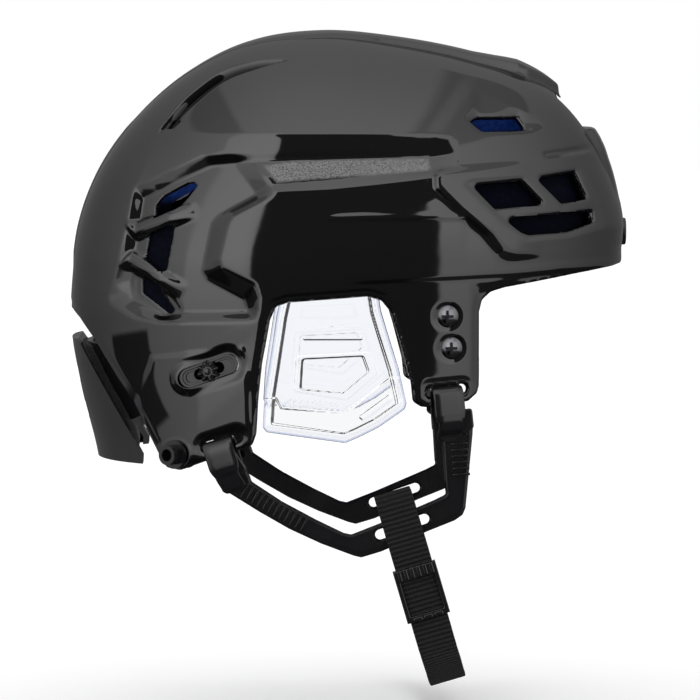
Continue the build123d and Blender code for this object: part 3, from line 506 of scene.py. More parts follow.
class Graph:
    """Short ways to add nodes to one tree and to link them."""

    def __init__(self, tree):
        self.tree = tree

    def put(self, socket, value):
        """Links a socket to an output, or sets its plain value."""
        if isinstance(value, bpy.types.NodeSocket):
            self.tree.links.new(value, socket)
        else:
            socket.default_value = value

    def add(self, kind, *values, **settings):
        """Node with its settings and inputs by name, or its inputs in order."""
        node = self.tree.nodes.new("ShaderNode" + kind)
        for key, value in settings.items():
            socket = key.replace("_", " ")
            if socket in node.inputs:
                self.put(node.inputs[socket], value)
            else:
                setattr(node, key, value)
        for socket, value in zip(node.inputs, values):
            self.put(socket, value)
        return node

    def calc(self, operation, *values):
        return self.add("Math", *values, operation=operation).outputs[0]

    def spread(self, value, low, high, to_low=0.0, to_high=1.0, **settings):
        """Value moved from one range to another."""
        return self.add("MapRange", Value=value, From_Min=low, From_Max=high, To_Min=to_low, To_Max=to_high,
                        **settings).outputs["Result"]

    def mix(self, factor, first, second, kind="RGBA", **settings):
        """Mix of two colours, or of two plain values."""
        node = self.add("Mix", data_type=kind, **settings)
        start = 6 if kind == "RGBA" else 2
        for index, value in ((0, factor), (start, first), (start + 1, second)):
            self.put(node.inputs[index], value)
        return node.outputs[2 if kind == "RGBA" else 0]

    def place(self):
        return self.add("TexCoord").outputs["Object"]

    def noise(self, place, scale, detail, **settings):
        return self.add("TexNoise", Vector=place, Scale=scale, Detail=detail, **settings).outputs["Fac"]

    def cells(self, place, scale):
        return self.add("TexVoronoi", Vector=place, Scale=scale).outputs["Distance"]

    def mask(self, name):
        """Value stored on the mesh under a name."""
        return self.add("Attribute", attribute_name=name).outputs["Fac"]

    def bump(self, height, strength, distance, before=None):
        node = self.add("Bump", Height=height, Strength=strength, Distance=distance)
        if before is not None:
            self.put(node.inputs["Normal"], before)
        return node.outputs["Normal"]


def gloss(graph, colour, roughness):
    """Polished injection-moulded plastic with faint ripple, a grained stretch whose pale flecks are painted glints, and
    sunk stretches whose cut specular level is painted shade.
    """
    place = graph.place()
    ripple = graph.noise(place, 70.0, 2.0)
    grain = graph.noise(place, 2300.0, 2.0, Roughness=0.7)
    smear = graph.noise(place, 24.0, 5.0, Roughness=0.6)
    grained = graph.mask("grained")
    polish = graph.spread(smear, 0.35, 0.75, roughness, roughness + 0.03)
    # Painted glints: pale flecks in the base colour of the grained stretch stand in for light caught by its grain; the
    # grain's roughness and bump are its own.
    painted_glint = graph.spread(graph.cells(place, 1500.0), 0.0, 0.8, 0.24, 0.02)
    soft = graph.bump(ripple, 0.05, 0.0006)
    return {
        "IOR": 1.6,
        "Roughness": graph.mix(grained, polish, 0.3, "FLOAT"),
        "Base Color": graph.mix(grained, colour, painted_glint),
        # Painted shade: the specular level drops from 0.5 to 0.08 in the scythe groove, darkening it as if shaded.
        "Specular IOR Level": graph.calc("MULTIPLY_ADD", graph.mask("sunk"), -0.42, 0.5),
        "Normal": graph.bump(graph.calc("MULTIPLY", grain, grained), 0.5, 0.0003, soft),
    }


def foam(graph, colour, shade_colour):
    """Moulded bead foam of one colour over the crown, with painted shade of a darker colour round its lower edge."""
    place = graph.place()
    x, _, z = graph.add("SeparateXYZ", Vector=place).outputs
    # Painted shade: under a height that climbs toward the front, the liner takes the dark colour, for the shade inside
    # the shell.
    rise = graph.spread(graph.calc("MULTIPLY_ADD", x, -0.14, z), 0.052, 0.056)
    tone = graph.mix(rise, shade_colour, colour)
    beads = graph.cells(place, 330.0)
    return {
        "Roughness": 0.9, "IOR": 1.45, "Specular IOR Level": 0.1,
        "Base Color": graph.mix(1.0, tone, graph.spread(beads, 0.0, 1.0, 1.0, 0.4), blend_type="MULTIPLY"),
        "Normal": graph.bump(graph.calc("SUBTRACT", 1.0, beads), 0.5, 0.0006),
    }


def knit(graph, colour):
    """Brushed knit cover of the comfort pads."""
    place = graph.place()
    loops = graph.bump(graph.cells(place, 850.0), 0.6, 0.0004)
    return {
        "Base Color": colour, "Roughness": 0.85, "Sheen Weight": 0.25, "Sheen Roughness": 0.4,
        "Normal": graph.bump(graph.noise(place, 260.0, 6.0), 0.3, 0.0006, loops),
    }


def moulded(graph, colour, roughness):
    """Fine-grained moulded nylon."""
    place = graph.place()
    flow = graph.noise(place, 60.0, 4.0)
    return {
        "Base Color": colour, "IOR": 1.5, "Specular IOR Level": 0.5,
        "Roughness": graph.spread(flow, 0.3, 0.7, roughness - 0.06, roughness + 0.08),
        "Normal": graph.bump(graph.noise(place, 1500.0, 3.0), 0.12, 0.0002),
    }


def woven(graph, colour):
    """Woven polyester webbing: cross ribs of weft, with fine warp threads along it."""
    layout = graph.add("UVMap", uv_map="weave").outputs["UV"]
    ribs = graph.add("TexWave", Vector=layout, wave_type="BANDS", bands_direction="Y", Scale=131.0, Distortion=1.1,
                     Detail=2.0, Detail_Scale=3.0).outputs["Fac"]
    threads = graph.add("TexWave", Vector=layout, wave_type="BANDS", bands_direction="X", Scale=260.0,
                        Distortion=1.2).outputs["Fac"]
    ramped = graph.add("ValToRGB", Fac=ribs)
    for element, share in zip(ramped.color_ramp.elements, (0.25, 1.9)):
        element.color = (*[share * c for c in colour[:3]], 1)
    return {
        "Roughness": 0.7, "Sheen Weight": 0.04, "Sheen Roughness": 0.5, "Specular IOR Level": 0.2,
        "Base Color": ramped.outputs["Color"],
        "Normal": graph.bump(threads, 0.5, 0.0003, graph.bump(ribs, 1.0, 0.0007)),
    }


def clear(graph, colour, edge_colour):
    """Clear polycarbonate whose edges gather a violet-blue tint."""
    return {
        "Roughness": 0.03, "IOR": 1.45, "Transmission Weight": 1.0,
        "Base Color": graph.mix(graph.mask("edge"), colour, edge_colour),
        "Normal": graph.bump(graph.noise(graph.place(), 90.0, 2.0), 0.05, 0.0005),
    }


def metal(graph, colour, roughness):
    """Blackened or polished steel with fine turning marks."""
    marks = graph.noise(graph.place(), 900.0, 4.0)
    return {
        "Base Color": colour, "Metallic": 1.0,
        "Roughness": graph.spread(marks, 0.0, 1.0, roughness - 0.05, roughness + 0.08),
        "Normal": graph.bump(marks, 0.05, 0.0001),
    }


def pale(graph, colour):
    """Pale floor that keeps a shadow; reflections and views from below pass through it."""
    shader, output = (graph.tree.nodes[name] for name in ("Principled BSDF", "Material Output"))
    glow = graph.add("Emission", Strength=0.2)
    lit = graph.add("AddShader", shader.outputs[0], glow.outputs[0])
    passed = graph.calc("MAXIMUM", graph.add("LightPath").outputs["Is Glossy Ray"],
                        graph.add("NewGeometry").outputs["Backfacing"])
    nothing = graph.add("BsdfTransparent")
    both = graph.add("MixShader", passed, lit.outputs[0], nothing.outputs[0])
    graph.put(output.inputs["Surface"], both.outputs[0])
    return {"Base Color": colour, "Roughness": 0.9, "Specular IOR Level": 0.0}


# Finish of each slot: its maker, then colours by name and plain values
FINISHES = {
    "shell": (gloss, "shell", 0.035),
    "spine": (gloss, "spine", 0.05),
    "liner": (foam, "liner", "liner_low"),
    "comfort_pad": (knit, "pad"),
    "clear_guard": (clear, "guard", "guard_edge"),
    "moulded_black": (moulded, "moulded", 0.17),
    "screw_steel": (metal, "screw", 0.2),
    "dark_hardware": (metal, "hardware", 0.38),
    "webbing": (woven, "webbing"),
    "floor": (pale, "floor"),
}


def finish_of(slot):
    """Material of a slot, made once."""
    found = bpy.data.materials.get("finish_" + slot)
    if found:
        return found
    material = bpy.data.materials.new("finish_" + slot)
    material.use_nodes = True
    graph = Graph(material.node_tree)
    make, *values = FINISHES[slot]
    values = [(*getattr(colours(), v), 1) if isinstance(v, str) else v for v in values]
    for socket, value in make(graph, *values).items():
        graph.put(material.node_tree.nodes["Principled BSDF"].inputs[socket], value)
    return material


def place(obj, body, slot, node):
    """Ties a piece to its body and hides the frame node that it stands for; its finish slot is not used."""
    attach(obj, body)
    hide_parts(node)
    return obj


def place_pair(right, ending, body, slot, node):
    """Places a right piece and its mirrored left one, and returns both; a sided body is mirrored too."""
    place(right, body, slot, node + "_right")
    left = mirrored(right, f"{node}_left_{ending}")
    place(left, body.replace("right", "left"), slot, node + "_left")
    return right, left


def finished_node(name, slot, bevel):
    """Gives a frame node its finish and softened edges."""
    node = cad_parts[name]
    node.data.materials.clear()
    node.data.materials.append(finish_of(slot))
    soft = node.modifiers.new("soft_edges", "BEVEL")
    soft.width = bevel * MM
    soft.segments = 2
    soft.limit_method = "ANGLE"
    soft.angle_limit = math.radians(35)


# Shell outlines in the side view, in millimetres

RIM = (
    (172, 10.5), (141, 7), (117, 4), (98, 1), (80, -2), (73, -4), (68.5, -8), (67, -14), (67, -51), (66, -55),
    (61, -59), (42, -62), (37, -61.5), (33, -59), (32, -49), (27, -30), (22, -14), (17, -8), (10, -6), (-30, -9),
    (-36, -11), (-39, -18), (-43, -39), (-45, -58), (-46, -75), (-48, -81), (-54, -83), (-71, -89), (-84, -94),
    (-91, -93), (-94, -89), (-108, -62), (-117, -49), (-129, -30), (-137, -20), (-143, -15), (-172, -15),
    (-172, 160), (172, 160),
)
FRONT_UPPER_VENT = ((62.5, 82.3), (66, 84.5), (87, 84.5), (91.5, 78), (69, 77.5))
FRONT_VENTS = (
    ((62.5, 49.5), (88, 51.5), (99, 39.5), (74, 37.5)),
    ((96, 52.5), (116, 55.5), (122, 41.5), (108, 39.5)),
    ((79, 32.5), (124, 35.5), (124.5, 29.5), (111, 25.5), (91, 24.5), (87, 26)),
)
REAR_VENTS = (
    ((-99, 40), (-95, 45), (-82, 52), (-79, 52.3), (-77, 50.5), (-83, 43), (-88, 38), (-99, 32.5)),
    ((-102, 25), (-91, 30), (-89, 28), (-93, 7), (-95.5, 6), (-104, 13)),
    ((-106, 3), (-97, -2.5), (-88.5, -14.5), (-92, -15), (-106, -5)),
)
SCYTHE_LINE = (
    (-94.5, 76, 0.9), (-88, 82, 2.3), (-78.5, 91.8, 2.9), (-63, 103.4, 2.7), (-46, 109.4, 2.1), (-27, 112.6, 0.3),
)
SCYTHE_SLOT = ((-91.5, 77.4), (-87, 81.6), (-84, 81.4), (-88, 77.8))
CREASE_OUTER = ((-107, 47), (-95, 74.5), (60, 74.5), (60, 50), (-50, 50), (-106, 42))
RECESS_OUTER = (
    (-107.5, 47.8), (-91.6, 56.2), (-83, 60.2), (-72.4, 64.8), (-60, 65.8), (-20, 67.3), (60, 69), (60, 50), (-40, 42),
    (-46, -18), (-91, -19.5), (-107, -17.5), (-119.5, -11), (-120.5, -6.7), (-115.7, 10), (-110.6, 31.5),
)
RECESS_INNER = (
    (-105.5, 43.5), (-99, 46.2), (-81, 55.0), (-69, 60.6), (-57.5, 61.8), (-28.7, 63.2), (42, 65), (60, 65.4), (60, 50),
    (-40, 42), (-46, -14), (-88, -15), (-95, -16.5), (-110, -8), (-112.5, 0), (-108, 25),
)
SIDE_OUTER = (
    (-38.7, 50.2), (-65.3, 35.8), (-69.2, 31.5), (-74.2, 7), (-71.8, 2.8), (-52.5, -7), (-50.5, -12), (-49, -95),
    (160, -95), (160, 66), (126, 67.5), (100.6, 64.4), (93, 62), (73.7, 60.6), (49, 58.2), (42.3, 57.3), (-3.8, 53.3),
    (-35, 50.6),
)
SIDE_INNER = (
    (-39.5, 43.2), (-57, 34), (-59, 31.3), (-63.6, 12.5), (-62.5, 8.3), (-46.5, 0.5), (-44, -8), (-43.5, -95),
    (160, -95), (160, 64), (126, 65.6), (100.6, 63.1), (93, 60.3), (62.5, 56), (41.3, 53.5), (16.2, 50.1),
    (-8.8, 47.2), (-35.3, 46.3),
)
GRAINED = ((-43, 60.4), (-35.2, 50.8), (42, 57), (42.3, 64.6), (-28, 62.9))
PLATE_OUTER = (
    (44.3, 58), (43, 54), (43, 47.5), (44.8, 46), (52.5, 36.8), (58.5, 31.5), (67, 24), (74.8, 13.6), (79.5, 11.4),
    (133, 13), (143, 15), (160, 18), (160, 75), (126, 67.5), (100.6, 64.4), (93, 62), (73.7, 60.6),
)
PLATE_INNER = (
    (45.8, 55), (44.6, 53.5), (44.6, 48.4), (46.8, 46.8), (56.5, 38), (63, 33), (72, 26), (79.8, 16.2), (84, 14.6),
    (123, 15.6), (137, 16.6), (160, 22), (160, 70), (126, 65.6), (100.6, 63.1), (93, 60.3), (62.5, 56),
)
WEDGE_TOP = ((-16, 34), (43.3, 42.2), (46.3, 41.7), (55.8, 35.9), (60, 34))
CLUSTER_OUTER = (
    (57, 50), (62, 53), (95, 55), (118, 57.8), (128, 41), (131, 37.5), (129, 27), (111, 22.6), (90, 22), (77, 30),
)
CLUSTER_INNER = ((59.5, 49.3), (63, 50.9), (95, 53), (116, 55.6), (124, 40), (126, 36), (125.5, 29), (111, 24.6),
                 (91, 23.7), (79.5, 31))
SCOOP_OUTER = ((60, 82.5), (66, 96.5), (84, 88.5), (97, 82.5), (101, 77.4), (88, 75.5), (66, 76))
SCOOP_INNER = ((62, 82.5), (66, 85), (87.5, 85.2), (93, 77.6), (69, 77))
REAR_LOW_OUTER = ((-99, -36), (-52, -31), (-49, -47), (-46, -75), (-48, -100), (-95, -100), (-108, -62))
REAR_LOW_INNER = ((-97, -38), (-54, -33), (-51, -48), (-48.5, -76), (-48, -100), (-95, -100), (-104, -62))
STUD_PLACE = (-86.0, -86.0)
SCREW_PLACES = ((50.0, -16.0), (52.0, -32.0))
# Slots: middle along and up, length, height and slope in degrees
FRONT_SLOT = (50.0, -53.5, 20.6, 5.2, 5.0)
REAR_SLOT = (-63.0, -79.5, 20.6, 5.2, 18.0)
TRACK_SLOT = (-69.5, -43.5, 31.0, 10.4, 20.0)
TRACK_SEAT = (40.0, 19.5)
# Adjuster: middle and outward direction from above, opening of its track, and the knob's shaft
TRACK_ORIGIN = (-69.5, -94.7)
TRACK_OUT = (-0.1736, -0.9848)
TRACK_OPENING = (15.9, 5.4)
SHAFT_RADIUS = 2.2
SHAFT_LENGTH = 17.0
SPINE_HALF = (
    (-114, 3), (-96, 9), (-72, 17), (-48, 26), (-20, 31), (18, 26), (55, 26), (80, 28), (93, 29), (104, 17), (111.5, 6),
)
SPINE_OUTLINE = SPINE_HALF + tuple((x, -y) for x, y in reversed(SPINE_HALF))
SPINE_RISE = ((-120, 0.3), (-48, 0.6), (-12, 1.8), (20, 3.0), (42, 3.4), (65, 3.7), (76, 4.4), (87, 5.6), (98, 4.8),
              (108, 4.4), (112, 2.8))


def openings():
    """Every hole of the shell, as outlines in the side view."""
    holes = [rounded(v, 1.6) for v in (FRONT_UPPER_VENT,) + FRONT_VENTS]
    holes += [rounded(v, 1.2) for v in REAR_VENTS]
    holes.append(rounded(SCYTHE_SLOT, 0.4))
    holes += [slot_outline(*FRONT_SLOT), slot_outline(*REAR_SLOT), slot_outline(*TRACK_SLOT)]
    holes.append(circle_outline(*STUD_PLACE, 5.4))
    return holes


def shell_keep(x, y, z):
    """Positive on the shell, as the distance to its nearest edge."""
    keep = depth_in(x, z, rounded(RIM, 3.0))
    for hole in openings():
        keep = np.minimum(keep, -depth_in(x, z, hole))
    return keep


def recess_floor(x, z):
    """Depth of the side recess: level behind, climbing a grained ledge ahead of its slanted end."""
    ledge = -3.6 + 2.6 * ramp(63.2 + 0.025 * (x + 30) - z, 9.0)
    ahead = ramp(x + 55.2 + 0.7 * (z - 58.1), 10)
    return -4.8 + (ledge + 4.8) * ahead


def side_relief(x, z):
    """Crease, recess, side panel and front plate, seen from the side."""
    crease = -(0.9 + 1.3 * ramp(x + 60, 14)) * between(x, z, CREASE_OUTER, RECESS_OUTER)
    crease *= ramp(z - 46, 8)
    recess = between(x, z, rounded(RECESS_OUTER, 2.0), rounded(RECESS_INNER, 2.0))
    floor = (crease + (recess_floor(x, z) - crease) * recess) * ramp(56 - x, 13)
    panel = between(x, z, SIDE_OUTER, SIDE_INNER)
    merge = 1 - 0.9 * ramp(x - 48, 45) * ramp(z - 38, 22)
    height = floor * (1 - panel) + 0.5 * panel * merge
    plate = between(x, z, rounded(PLATE_OUTER, 1.5), rounded(PLATE_INNER, 1.5))
    height += 1.9 * plate * merge * (1 - 0.7 * ramp(x - 84, 14) * ramp(26 - z, 9))
    top = np.interp(x, *zip(*WEDGE_TOP))
    slope = 0.9 * ramp((top - z) / (top - 33.4)) + 0.35 * ramp(35.2 - z, 1.4)
    fall = 0.65 * ramp(33.4 - z, 1.0) + 0.35 * ramp(32.4 - z, 22)
    height += slope * (1 - fall) * ramp(x + 16, 12) * ramp(60 - x, 3) * (1 - plate)
    bars = np.maximum(
        bar_height(x, z, (-108.5, 26.8), (-77, 38.6), 4.4, 14.0),
        bar_height(x, z, (-111, 11.8), (-83.5, -4.6), 4.4, 14.0),
    )
    height = np.maximum(height, floor + 3.6 * bars * (bars > 0))
    height -= 0.9 * between(x, z, CLUSTER_OUTER, CLUSTER_INNER)
    height -= 1.7 * bar_height(x, z, (101.5, 64.3), (127, 67), 1.5, 8.0) * (x > 98)
    height -= 1.8 * between(x, z, SCOOP_OUTER, SCOOP_INNER)
    height -= 4.4 * ease(depth_in_stroke(x, z, SCYTHE_LINE) / 1.7)
    height += 0.7 * between(x, z, REAR_LOW_OUTER, REAR_LOW_INNER)
    return height


def fitting_relief(x, z):
    """Seats of the screws, stud and adjuster track."""
    height = np.zeros(len(x))
    for sx, sz in SCREW_PLACES:
        height -= 0.9 * ramp(6.6 - np.hypot(x - sx, z - sz), 0.8)
    away = np.hypot(x - STUD_PLACE[0], z - STUD_PLACE[1])
    height += 0.8 * ramp(9.2 - away, 1.4) * (x < -60)
    return height


def end_relief(x, y, z):
    """Brow block and the pocket over it in front, and a low ridge behind."""
    front = ramp(x - 96, 8)
    wide = np.abs(y)
    pocket = ramp(26 - wide, 3) * ramp(95 - z, 3) * ramp(z - 75.5, 1.5)
    brow = ramp(28 - wide, 4) * ramp(76.5 - z, 1.5) * ramp(z - 40, 30)
    back = ramp(-x - 104, 8) * ramp(15 - wide, 3) * ramp(z - 5, 8)
    return front * (3.4 * brow - 2.2 * pocket) + 0.6 * back


def shell_relief(x, y, z):
    """Height of the shell's outer face above the form."""
    height = side_relief(x, z) + fitting_relief(x, z) + end_relief(x, y, z)
    height -= 0.75 * ramp(np.abs(y) - 92, 9)
    lip = ramp(2.9 + 0.043 * (x - 36) - z, 1.2) * ramp(x + 4, 14) * (x < 150)
    height -= 0.7 * lip
    height -= 1.2 * ramp(x - 61.5, 5.5) * (z < 0) * ramp(2 - z, 6)
    edge = shell_keep(x, y, z)
    lip_radius = np.where((x < -76) & (z > -16) & (z < 54), 0.5, 1.3)
    height -= lip_radius - np.sqrt(np.maximum(lip_radius**2 - np.clip(lip_radius - edge, 0, lip_radius) ** 2, 0))
    height -= 0.5 * ramp(4.2 - edge, 1.0) * (z < 6)
    seat = slot_outline(*TRACK_SLOT[:2], *TRACK_SEAT, TRACK_SLOT[4])
    flat = -0.3 - ((x - TRACK_ORIGIN[0]) * TRACK_OUT[0] + (-np.abs(y) - TRACK_ORIGIN[1]) * TRACK_OUT[1])
    return height + (flat - height) * ease(depth_in(x, z, seat) / 3.6)


def shell_inner(x, y, z):
    return np.minimum(-sizes().wall / MM, shell_relief(x, y, z) - 1.5)


# Mask of the grained ledge: real grain in roughness and bump, painted glints in its colour.
def grain_and_glint_stretch(x, y, z):
    return ramp(depth_in(x, z, GRAINED), 1.0)


# Mask of the scythe groove, where the shell's specular level is cut as painted shade.
def groove_shade_mask(x, y, z):
    return ramp(depth_in_stroke(x, z, SCYTHE_LINE) - 0.3, 0.8)


def spine_keep(x, y, z):
    keep = depth_in(x, y, rounded(SPINE_OUTLINE, 6.0))
    return np.minimum(keep, z - 50)


def spine_outer(x, y, z):
    keep = spine_keep(x, y, z)
    rise = np.interp(x, *zip(*SPINE_RISE))
    side = ease(keep / 4.6)
    crown = 1 - 0.12 * ramp(14 - keep, 14)
    return 0.1 + (rise - 0.1) * side * crown


# Liner and pads

LINER_FRONT = ((172, 13), (142, 12), (74, 2), (62, -7), (21, -7), (16, 9), (2, 9), (2, 160), (172, 160))
LINER_REAR = ((1.5, 9), (1.5, 160), (-172, 160), (-172, -6), (-131, -6), (-118, -19), (-42, -19), (-37, 9))
UNDER_LINER = -20.7
SOFT_STEP = 0.8
# Pads: box and its corner radius, the view that shows it, level, thickness (0 for the usual one), turns and lifts
PADS = (
    ("temple_pad", (16, 13, 56, 46), 8.0, "side", UNDER_LINER, 0, (-180, 0), (-10, 60)),
    ("side_pad", (-64, 13, -8, 46), 8.0, "side", UNDER_LINER, 0, (-180, 0), (-10, 60)),
    ("brow_pad", (64, 15, 172, 42), 8.0, "front", UNDER_LINER, 0, (-80, 80), (-5, 45)),
    ("rear_pad", (-42, -4, 42, 36), 9.0, "rear", UNDER_LINER, 0, (100, 260), (-15, 45)),
    ("crown_pad", (-50, -25, 44, 25), 10.0, "top", UNDER_LINER, 0, (-180, 180), (30, 90)),
    ("jaw_pad", (38.5, -42.5, 62.5, -11.5), 7.0, "side", -8.2, 9.0, (-110, -20), (-40, 5)),
)
# Each view's two directions and the limit that holds a pad to its own part of the helmet
VIEWS = {
    "side": lambda x, y, z: (x, z, -y),
    "front": lambda x, y, z: (x, z, NEAR),
    "rear": lambda x, y, z: (y, z, np.where(x < -60, NEAR, -NEAR)),
    "top": lambda x, y, z: (x, y, np.where(z > 60, NEAR, -NEAR)),
}


def liner_keep(outline):
    """Region of a liner half, open behind the upper vents."""
    vents = [(rounded(FRONT_UPPER_VENT, 1.5), 3.0), (rounded(REAR_VENTS[0], 1.5), 2.5)]

    def keep(x, y, z):
        field = depth_in(x, z, rounded(outline, 4.0))
        for vent, margin in vents:
            inside = -depth_in(x, z, vent) - margin
            field = np.minimum(field, np.where(np.abs(y) > 36, inside, NEAR))
        return field

    return keep


def liner_faces(keep):
    """Outer and inner faces of a liner half, the inner one with moulded channels."""
    def outer(x, y, z):
        return -6.4 - 1.2 * ramp(3 - keep(x, y, z), 3)

    def inner(x, y, z):
        channels = np.abs((np.degrees(np.arctan2(y, x - CENTRE_X)) + 15) % 30 - 15)
        grooves = ramp(2.2 - channels, 1.2) * ramp(z - 20, 10) * ramp(108 - z, 8)
        return -20.3 + 3.0 * grooves + 1.5 * ramp(3 - keep(x, y, z), 3)

    return outer, inner


def pillow(keep, base, thickness, spread=9.0):
    """Outer and inner faces of a crowned pad whose edges draw in."""
    def outer(x, y, z):
        t = ramp(keep(x, y, z), spread)
        return base - 1.6 * (1 - np.sqrt(t * (2 - t)))

    def inner(x, y, z):
        t = ramp(keep(x, y, z), spread)
        seam = 0.5 * ramp(1.2 - np.abs(keep(x, y, z) - 3.2), 1.2)
        return base - 1.9 - (thickness - 1.9) * np.sqrt(t * (2 - t)) + seam

    return outer, inner


# Slings, strap and slider

SLING_OUTLINE = (
    (-72, -81), (-71.5, -86), (-67.5, -96), (-65, -100), (-60, -105), (-44, -115), (-29, -123.6), (-13, -131),
    (3, -137), (7, -138), (17, -135), (41, -124.5), (54, -119.3), (58, -116.5), (59.5, -113), (63, -76), (63.2, -71),
    (62, -66), (46, -67), (46.5, -71), (47.5, -78), (49, -103), (49.6, -106), (44, -108.8), (18, -120), (2, -126.3),
    (-2, -125.4), (-16, -118.6), (-33, -109.4), (-48, -99.5), (-49, -96.5), (-54, -87), (-54.5, -81),
)
SLING_Y = 90.39
SLING_THICKNESS = 2.4
STRAP_FACE = SLING_Y + 2.0 + 3.4
# Slot of the slings for the webbing, and the strap's own plane: its origin and lean in degrees
STRAP_SLOT = (27.6, -122.4, 28.6, 5.0, 19.4)
STRAP_ORIGIN = (27.59, 0.0, -122.44)
STRAP_LEAN = 16.4
FRONT_TAB = ((46.8, -64.5), (62.6, -62.5), (63.6, -72), (59.5, -75), (50, -75.8), (47.5, -73.5))
REAR_TAB = ((-72.5, -86.5), (-57.5, -82), (-50.5, -93), (-54, -97.5), (-59, -98.5), (-66, -95.5))


def sling_hook(name, place_on, slope, material):
    """Flat strap of a sling's arm: up inside the shell, out through its slot and down to its tongue."""
    x, z = place_on
    low = z - (5.2 + 4.6) / 2 / math.cos(math.radians(slope))
    centre = Vector((x, -half_width(x, low) + 1.5, low))
    angle = math.radians(slope)
    width, step = 15.8, 7.9
    turn = half_width(x + step, low) - half_width(x - step, low)
    along = Vector((math.cos(angle) * width, -turn, math.sin(angle) * width)).normalized()
    out = (Vector((0, -1, 0)) - along * Vector((0, -1, 0)).dot(along)).normalized()
    up = out.cross(along)
    plate = SLING_Y - SLING_THICKNESS / 2 + centre.y
    loop = ((-14, plate), (-8, plate + 0.3), (-2, -4.3), (3.2, -4.2), (5.6, -2.4), (6.1, 0.4), (5.2, 3.0), (2.6, 4.3),
            (-3, 4.6), (-9, 4.5), (-12, 3.5))
    tongue = ((-7, 5.0), (-11, 4.4), (-14, 2.6), (-17, plate + 3.8), (-20.5, plate + 2.4))
    parts = []
    for part, route, wide, thick, count in (("loop", loop, width, 2.2, 60), ("tongue", tongue, 12.6, 1.8, 30)):
        path = [centre + up * u + out * v for u, v in smooth_path(route, count)]
        taper = 1 - 0.3 * ramp(np.linspace(0, 1, count) - 0.85, 0.15) ** 2
        parts.append(band(f"{name}_{part}", path, along, wide, thick, material, taper))
    return parts


def rib_row(name, start, end, count, length, slope, y, material, rise, width):
    """Row of small raised ribs on a sling's face."""
    parts = []
    a = math.radians(slope)
    ca, sa = math.cos(a) * length / 2, math.sin(a) * length / 2
    wa, wb = -math.sin(a) * width / 2, math.cos(a) * width / 2
    for k in range(count):
        t = k / (count - 1)
        x, z = start[0] + (end[0] - start[0]) * t, start[1] + (end[1] - start[1]) * t
        outline = ((x - ca - wa, z - sa - wb), (x + ca - wa, z + sa - wb), (x + ca + wa, z + sa + wb),
                   (x - ca + wa, z - sa + wb))
        parts.append(side_plate(f"{name}_{k}", [outline], y, rise * 2, 0.3, material))
    return parts


def strap_point(across, up):
    """Point of the strap's own plane: across the helmet and up along the strap."""
    lean = math.radians(STRAP_LEAN)
    x, _, z = STRAP_ORIGIN
    return (x - math.sin(lean) * up, across, z + math.cos(lean) * up)


def strap_side():
    """Direction across the webbing's width."""
    lean = math.radians(STRAP_LEAN)
    return np.array((math.cos(lean), 0.0, math.sin(lean)))


def length_setting(name, description, default):
    return FloatProperty(name=name, description=description, default=default * MM, unit="LENGTH", subtype="DISTANCE")


def colour_setting(name, description, default):
    return FloatVectorProperty(name=name, description=description, default=default, subtype="COLOR", size=3,
                               min=0.0, max=1.0)


class HelmetSizes(bpy.types.PropertyGroup):
    """Sizes that a user would change"""

    half_length: length_setting("Half length", "Half the length of the shell", 142)
    half_width: length_setting("Half width", "Half the width of the shell", 102)
    crown_height: length_setting("Crown height", "Height of the crown above the brow edge", 125)
    wall: length_setting("Wall", "Thickness of the shell", 3)
    pad_thickness: length_setting("Pad thickness", "Thickness of the comfort pads", 6)
    strap_width: length_setting("Strap width", "Width of the chin webbing", 19)
    strap_thickness: length_setting("Strap thickness", "Thickness of the chin webbing", 1.5)
    floor_drop: length_setting("Floor drop", "How far the floor lies under the brow edge", 222)


class HelmetColours(bpy.types.PropertyGroup):
    """Colours of the helmet's finishes"""

    shell: colour_setting("Shell", "Gloss black of the shell", (0.0028, 0.0028, 0.0032))
    spine: colour_setting("Spine", "Gloss black of the crown spine", (0.003, 0.003, 0.0035))
    liner: colour_setting("Liner", "Blue of the foam liner", (0.012, 0.06, 0.34))
    # Painted shade: the dark colour of the liner's lower part, which lies in the shell's shade.
    liner_low: colour_setting("Lower liner", "Navy black of the liner's lower edge", (0.0015, 0.002, 0.008))
    pad: colour_setting("Pads", "Black of the comfort pads", (0.012, 0.012, 0.014))
    guard: colour_setting("Ear guards", "Tint of the clear ear guards", (0.96, 0.97, 0.99))
    guard_edge: colour_setting("Ear guard edges", "Tint that gathers at the guards' edges", (0.42, 0.47, 0.7))
    moulded: colour_setting("Mouldings", "Black of the moulded fittings", (0.006, 0.006, 0.007))
    screw: colour_setting("Screws", "Steel of the temple screws", (0.16, 0.16, 0.17))
    hardware: colour_setting("Hardware", "Dark steel of the nuts", (0.05, 0.05, 0.055))
    webbing: colour_setting("Webbing", "Black of the chin strap", (0.007, 0.007, 0.0075))
    floor: colour_setting("Floor", "Pale studio floor", (0.9, 0.9, 0.9))


class HELMET_OT_shell(bpy.types.Operator):
    """Makes the one-piece outer shell with its vents, slots and raised facets"""

    bl_idname = "helmet.shell"
    bl_label = "Outer shell"

    def execute(self, context):
        shell = shell_piece("shell_body", shell_keep, shell_relief, shell_inner, finish_of("shell"), step=0.36,
                            values={"grained": grain_and_glint_stretch, "sunk": groove_shade_mask}, sharp=50, passes=3)
        place(shell, "shell", "shell", "outer_shell")
        return {"FINISHED"}


class HELMET_OT_spine(bpy.types.Operator):
    """Makes the raised spine along the crown"""

    bl_idname = "helmet.spine"
    bl_label = "Crown spine"

    def execute(self, context):
        spine = shell_piece("crown_spine_cap", spine_keep, spine_outer, lambda x, y, z: np.full(len(x), -0.4),
                            finish_of("spine"), lift_range=(25, 90), step=0.4)
        place(spine, "shell", "spine", "crown_spine")
        return {"FINISHED"}


